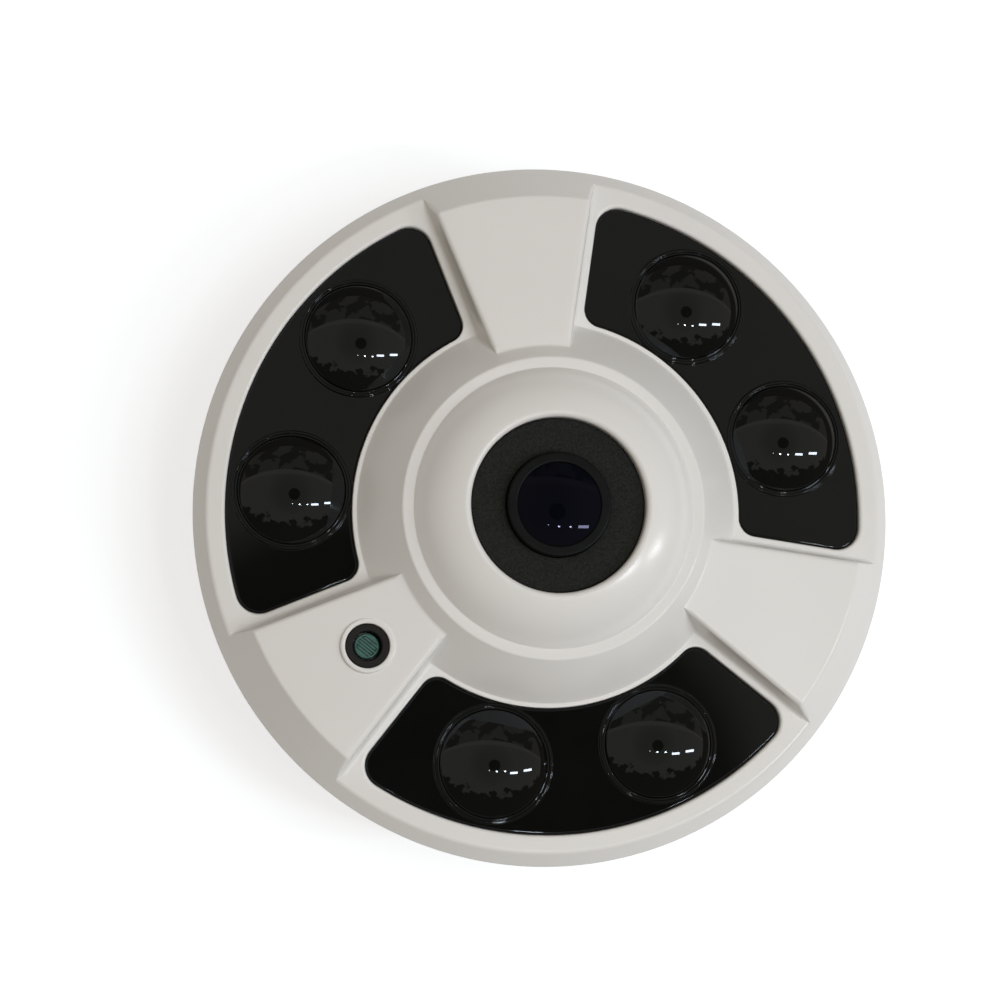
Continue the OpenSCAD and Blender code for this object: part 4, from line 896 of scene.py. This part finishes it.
def floor_material():
    """Pale floor that keeps shadows and looks white to the camera and in reflections."""
    material = bpy.data.materials.new("floor_pale")
    material.use_nodes = True
    tree = material.node_tree
    tree.nodes.clear()
    out = node(tree, "ShaderNodeOutputMaterial")
    paint = node(tree, "ShaderNodeBsdfDiffuse", Color=floor_paint)
    glow = node(tree, "ShaderNodeEmission", Color=(1, 1, 1, 1))
    both = node(tree, "ShaderNodeAddShader")
    path = node(tree, "ShaderNodeLightPath").outputs
    seen = maths(tree, "MAXIMUM", path["Is Camera Ray"], path["Is Glossy Ray"])
    seen = maths(tree, "MAXIMUM", seen, path["Is Transmission Ray"])
    tree.links.new(maths(tree, "MULTIPLY", seen, floor_glow), glow.inputs["Strength"])
    tree.links.new(paint.outputs[0], both.inputs[0])
    tree.links.new(glow.outputs[0], both.inputs[1])
    tree.links.new(both.outputs[0], out.inputs["Surface"])
    return material


def make_floor():
    """Wide level floor just under the object."""
    corners = ((-1, -1), (1, -1), (1, 1), (-1, 1))
    floor = Skin()
    floor.flat([(x * floor_half, y * floor_half, floor_z) for x, y in corners])
    floor_thing = floor.made("floor", floor_material())


def along(tree, looked, way):
    """How far the looked-at direction points along another."""
    dot = node(tree, "ShaderNodeVectorMath", operation="DOT_PRODUCT")
    dot.inputs[1].default_value = Vector(way).normalized()
    tree.links.new(looked, dot.inputs[0])
    return dot.outputs["Value"]


def level_way(azimuth):
    """A level direction by its azimuth in degrees."""
    return (*polar(1, azimuth), 0)


def ceiling_light(tree, looked, height, ahead):
    """Brightness of the ceiling: a pale beam crosses it, and beyond that it is dim and blotched."""
    beyond = step(tree, ahead, beam_far, beam_far + beam_soft, 0, 1)
    reached = step(tree, ahead, beam_near, beam_near + beam_soft, 0, 1)
    beam = maths(tree, "MULTIPLY", maths(tree, "SUBTRACT", reached, beyond), beam_level)
    blotches = noise(tree, looked, blotch_scale, room_detail)
    far_level = step(tree, blotches, blotch_start, blotch_end, far_dark, far_light)
    near_level = step(tree, height, zenith_start, zenith_full, ceiling_level, zenith_level)
    return maths(tree, "ADD", step(tree, beyond, 0, 1, near_level, far_level), beam)


def ceiling_shown(tree, looked, ahead, aside):
    """Where the ceiling shows: walls end it on four sides, and the near one has uneven shelves."""
    shelves = noise(tree, looked, shelf_scale, room_detail)
    uneven = step(tree, shelves, shelf_start, shelf_end, -shelf_depth, shelf_depth)
    behind = maths(tree, "ADD", ahead, uneven)
    shown = step(tree, ahead, wall_ahead, wall_ahead + wall_soft, 1, 0)
    edges = ((aside, wall_left, wall_side_soft), (aside, -wall_right, -wall_side_soft),
             (behind, -wall_behind, -wall_soft))
    for value, start, soft in edges:
        shown = maths(tree, "MULTIPLY", shown, step(tree, value, start, start + soft, 1, 0))
    return shown


def room_light(tree, looked):
    """Brightness of the room in the looked-at direction."""
    split = node(tree, "ShaderNodeSeparateXYZ")
    tree.links.new(looked, split.inputs[0])
    height = split.outputs["Z"]
    walls = step(tree, height, low_band_start, low_band_end, low_band_level, wall_level)
    safe = maths(tree, "MAXIMUM", height, least_height)
    ahead, aside = (
        maths(tree, "DIVIDE", along(tree, looked, level_way(beam_azimuth + turn)), safe)
        for turn in (0, 90)
    )
    level = ceiling_light(tree, looked, height, ahead)
    room = step(tree, ceiling_shown(tree, looked, ahead, aside), 0, 1, walls, level)
    edge, full = (math.cos(math.radians(a)) for a in (card_angle + card_soft, card_angle))
    card = step(tree, along(tree, looked, card_way), edge, full, 0, 1)
    return step(tree, card, 0, 1, room, card_level)


def make_room():
    """Warm room: ceiling with a beam, dark walls, a pale low band, and a black card round the camera."""
    world = bpy.data.worlds.new("room")
    bpy.context.scene.world = world
    world.use_nodes = True
    tree = world.node_tree
    looked = node(tree, "ShaderNodeTexCoord").outputs["Generated"]
    tinted = node(tree, "ShaderNodeVectorMath", operation="SCALE")
    tinted.inputs[0].default_value = room_tint
    tree.links.new(room_light(tree, looked), tinted.inputs["Scale"])
    tree.links.new(tinted.outputs["Vector"], tree.nodes["Background"].inputs["Color"])


def make_lamp(name, way, distance, size, power, mirrored=True, tint=(1, 1, 1)):
    """A rectangular lamp that shines at the object from an azimuth and elevation."""
    azimuth, elevation = way
    data = bpy.data.lights.new(name, "AREA")
    data.shape = "RECTANGLE"
    data.size, data.size_y = size
    data.energy = power
    data.color = tint
    thing = bpy.data.objects.new(name, data)
    bpy.context.scene.collection.objects.link(thing)
    flat = distance * math.cos(math.radians(elevation))
    place = Vector((*polar(flat, azimuth), distance * math.sin(math.radians(elevation))))
    back = place.normalized()
    lie = Vector(level_way(lamp_turn))
    side = (lie - back * back.dot(lie)).normalized()
    thing.visible_glossy = mirrored
    thing.location = place + Vector((0, 0, frame_z * MM))
    thing.rotation_euler = Matrix((side, back.cross(side), back)).transposed().to_euler()


def make_camera():
    """The camera at the photo's viewing angle."""
    camera = bpy.data.cameras.new("camera")
    camera.sensor_width = film_width
    camera.lens = focal_length
    camera_thing = bpy.data.objects.new("camera", camera)
    camera_thing.location = camera_place
    camera_thing.rotation_euler = [math.radians(a) for a in camera_turn]
    bpy.context.scene.collection.objects.link(camera_thing)
    bpy.context.scene.camera = camera_thing


# Making of the scene
colours = {row["slot"]: row["base_color"] for row in frame["record"]["materials"]}
finishes = {name: finish(name, **look) for name, look in looks.items()}
finish_nodes()
base_profile = [p for p in cover_profile() if p[1] <= land_z]
top_profile = panel_top_profile()
make_cover()
for number, angle in enumerate(window_angles, 1):
    make_window(number, angle)
make_sleeve()
make_cell()
make_track()
make_foam()
make_barrel()
make_floor()
make_room()
for name, settings in lamps.items():
    make_lamp(name, **settings)
make_camera()
bpy.context.scene.view_settings.view_transform = "Standard"
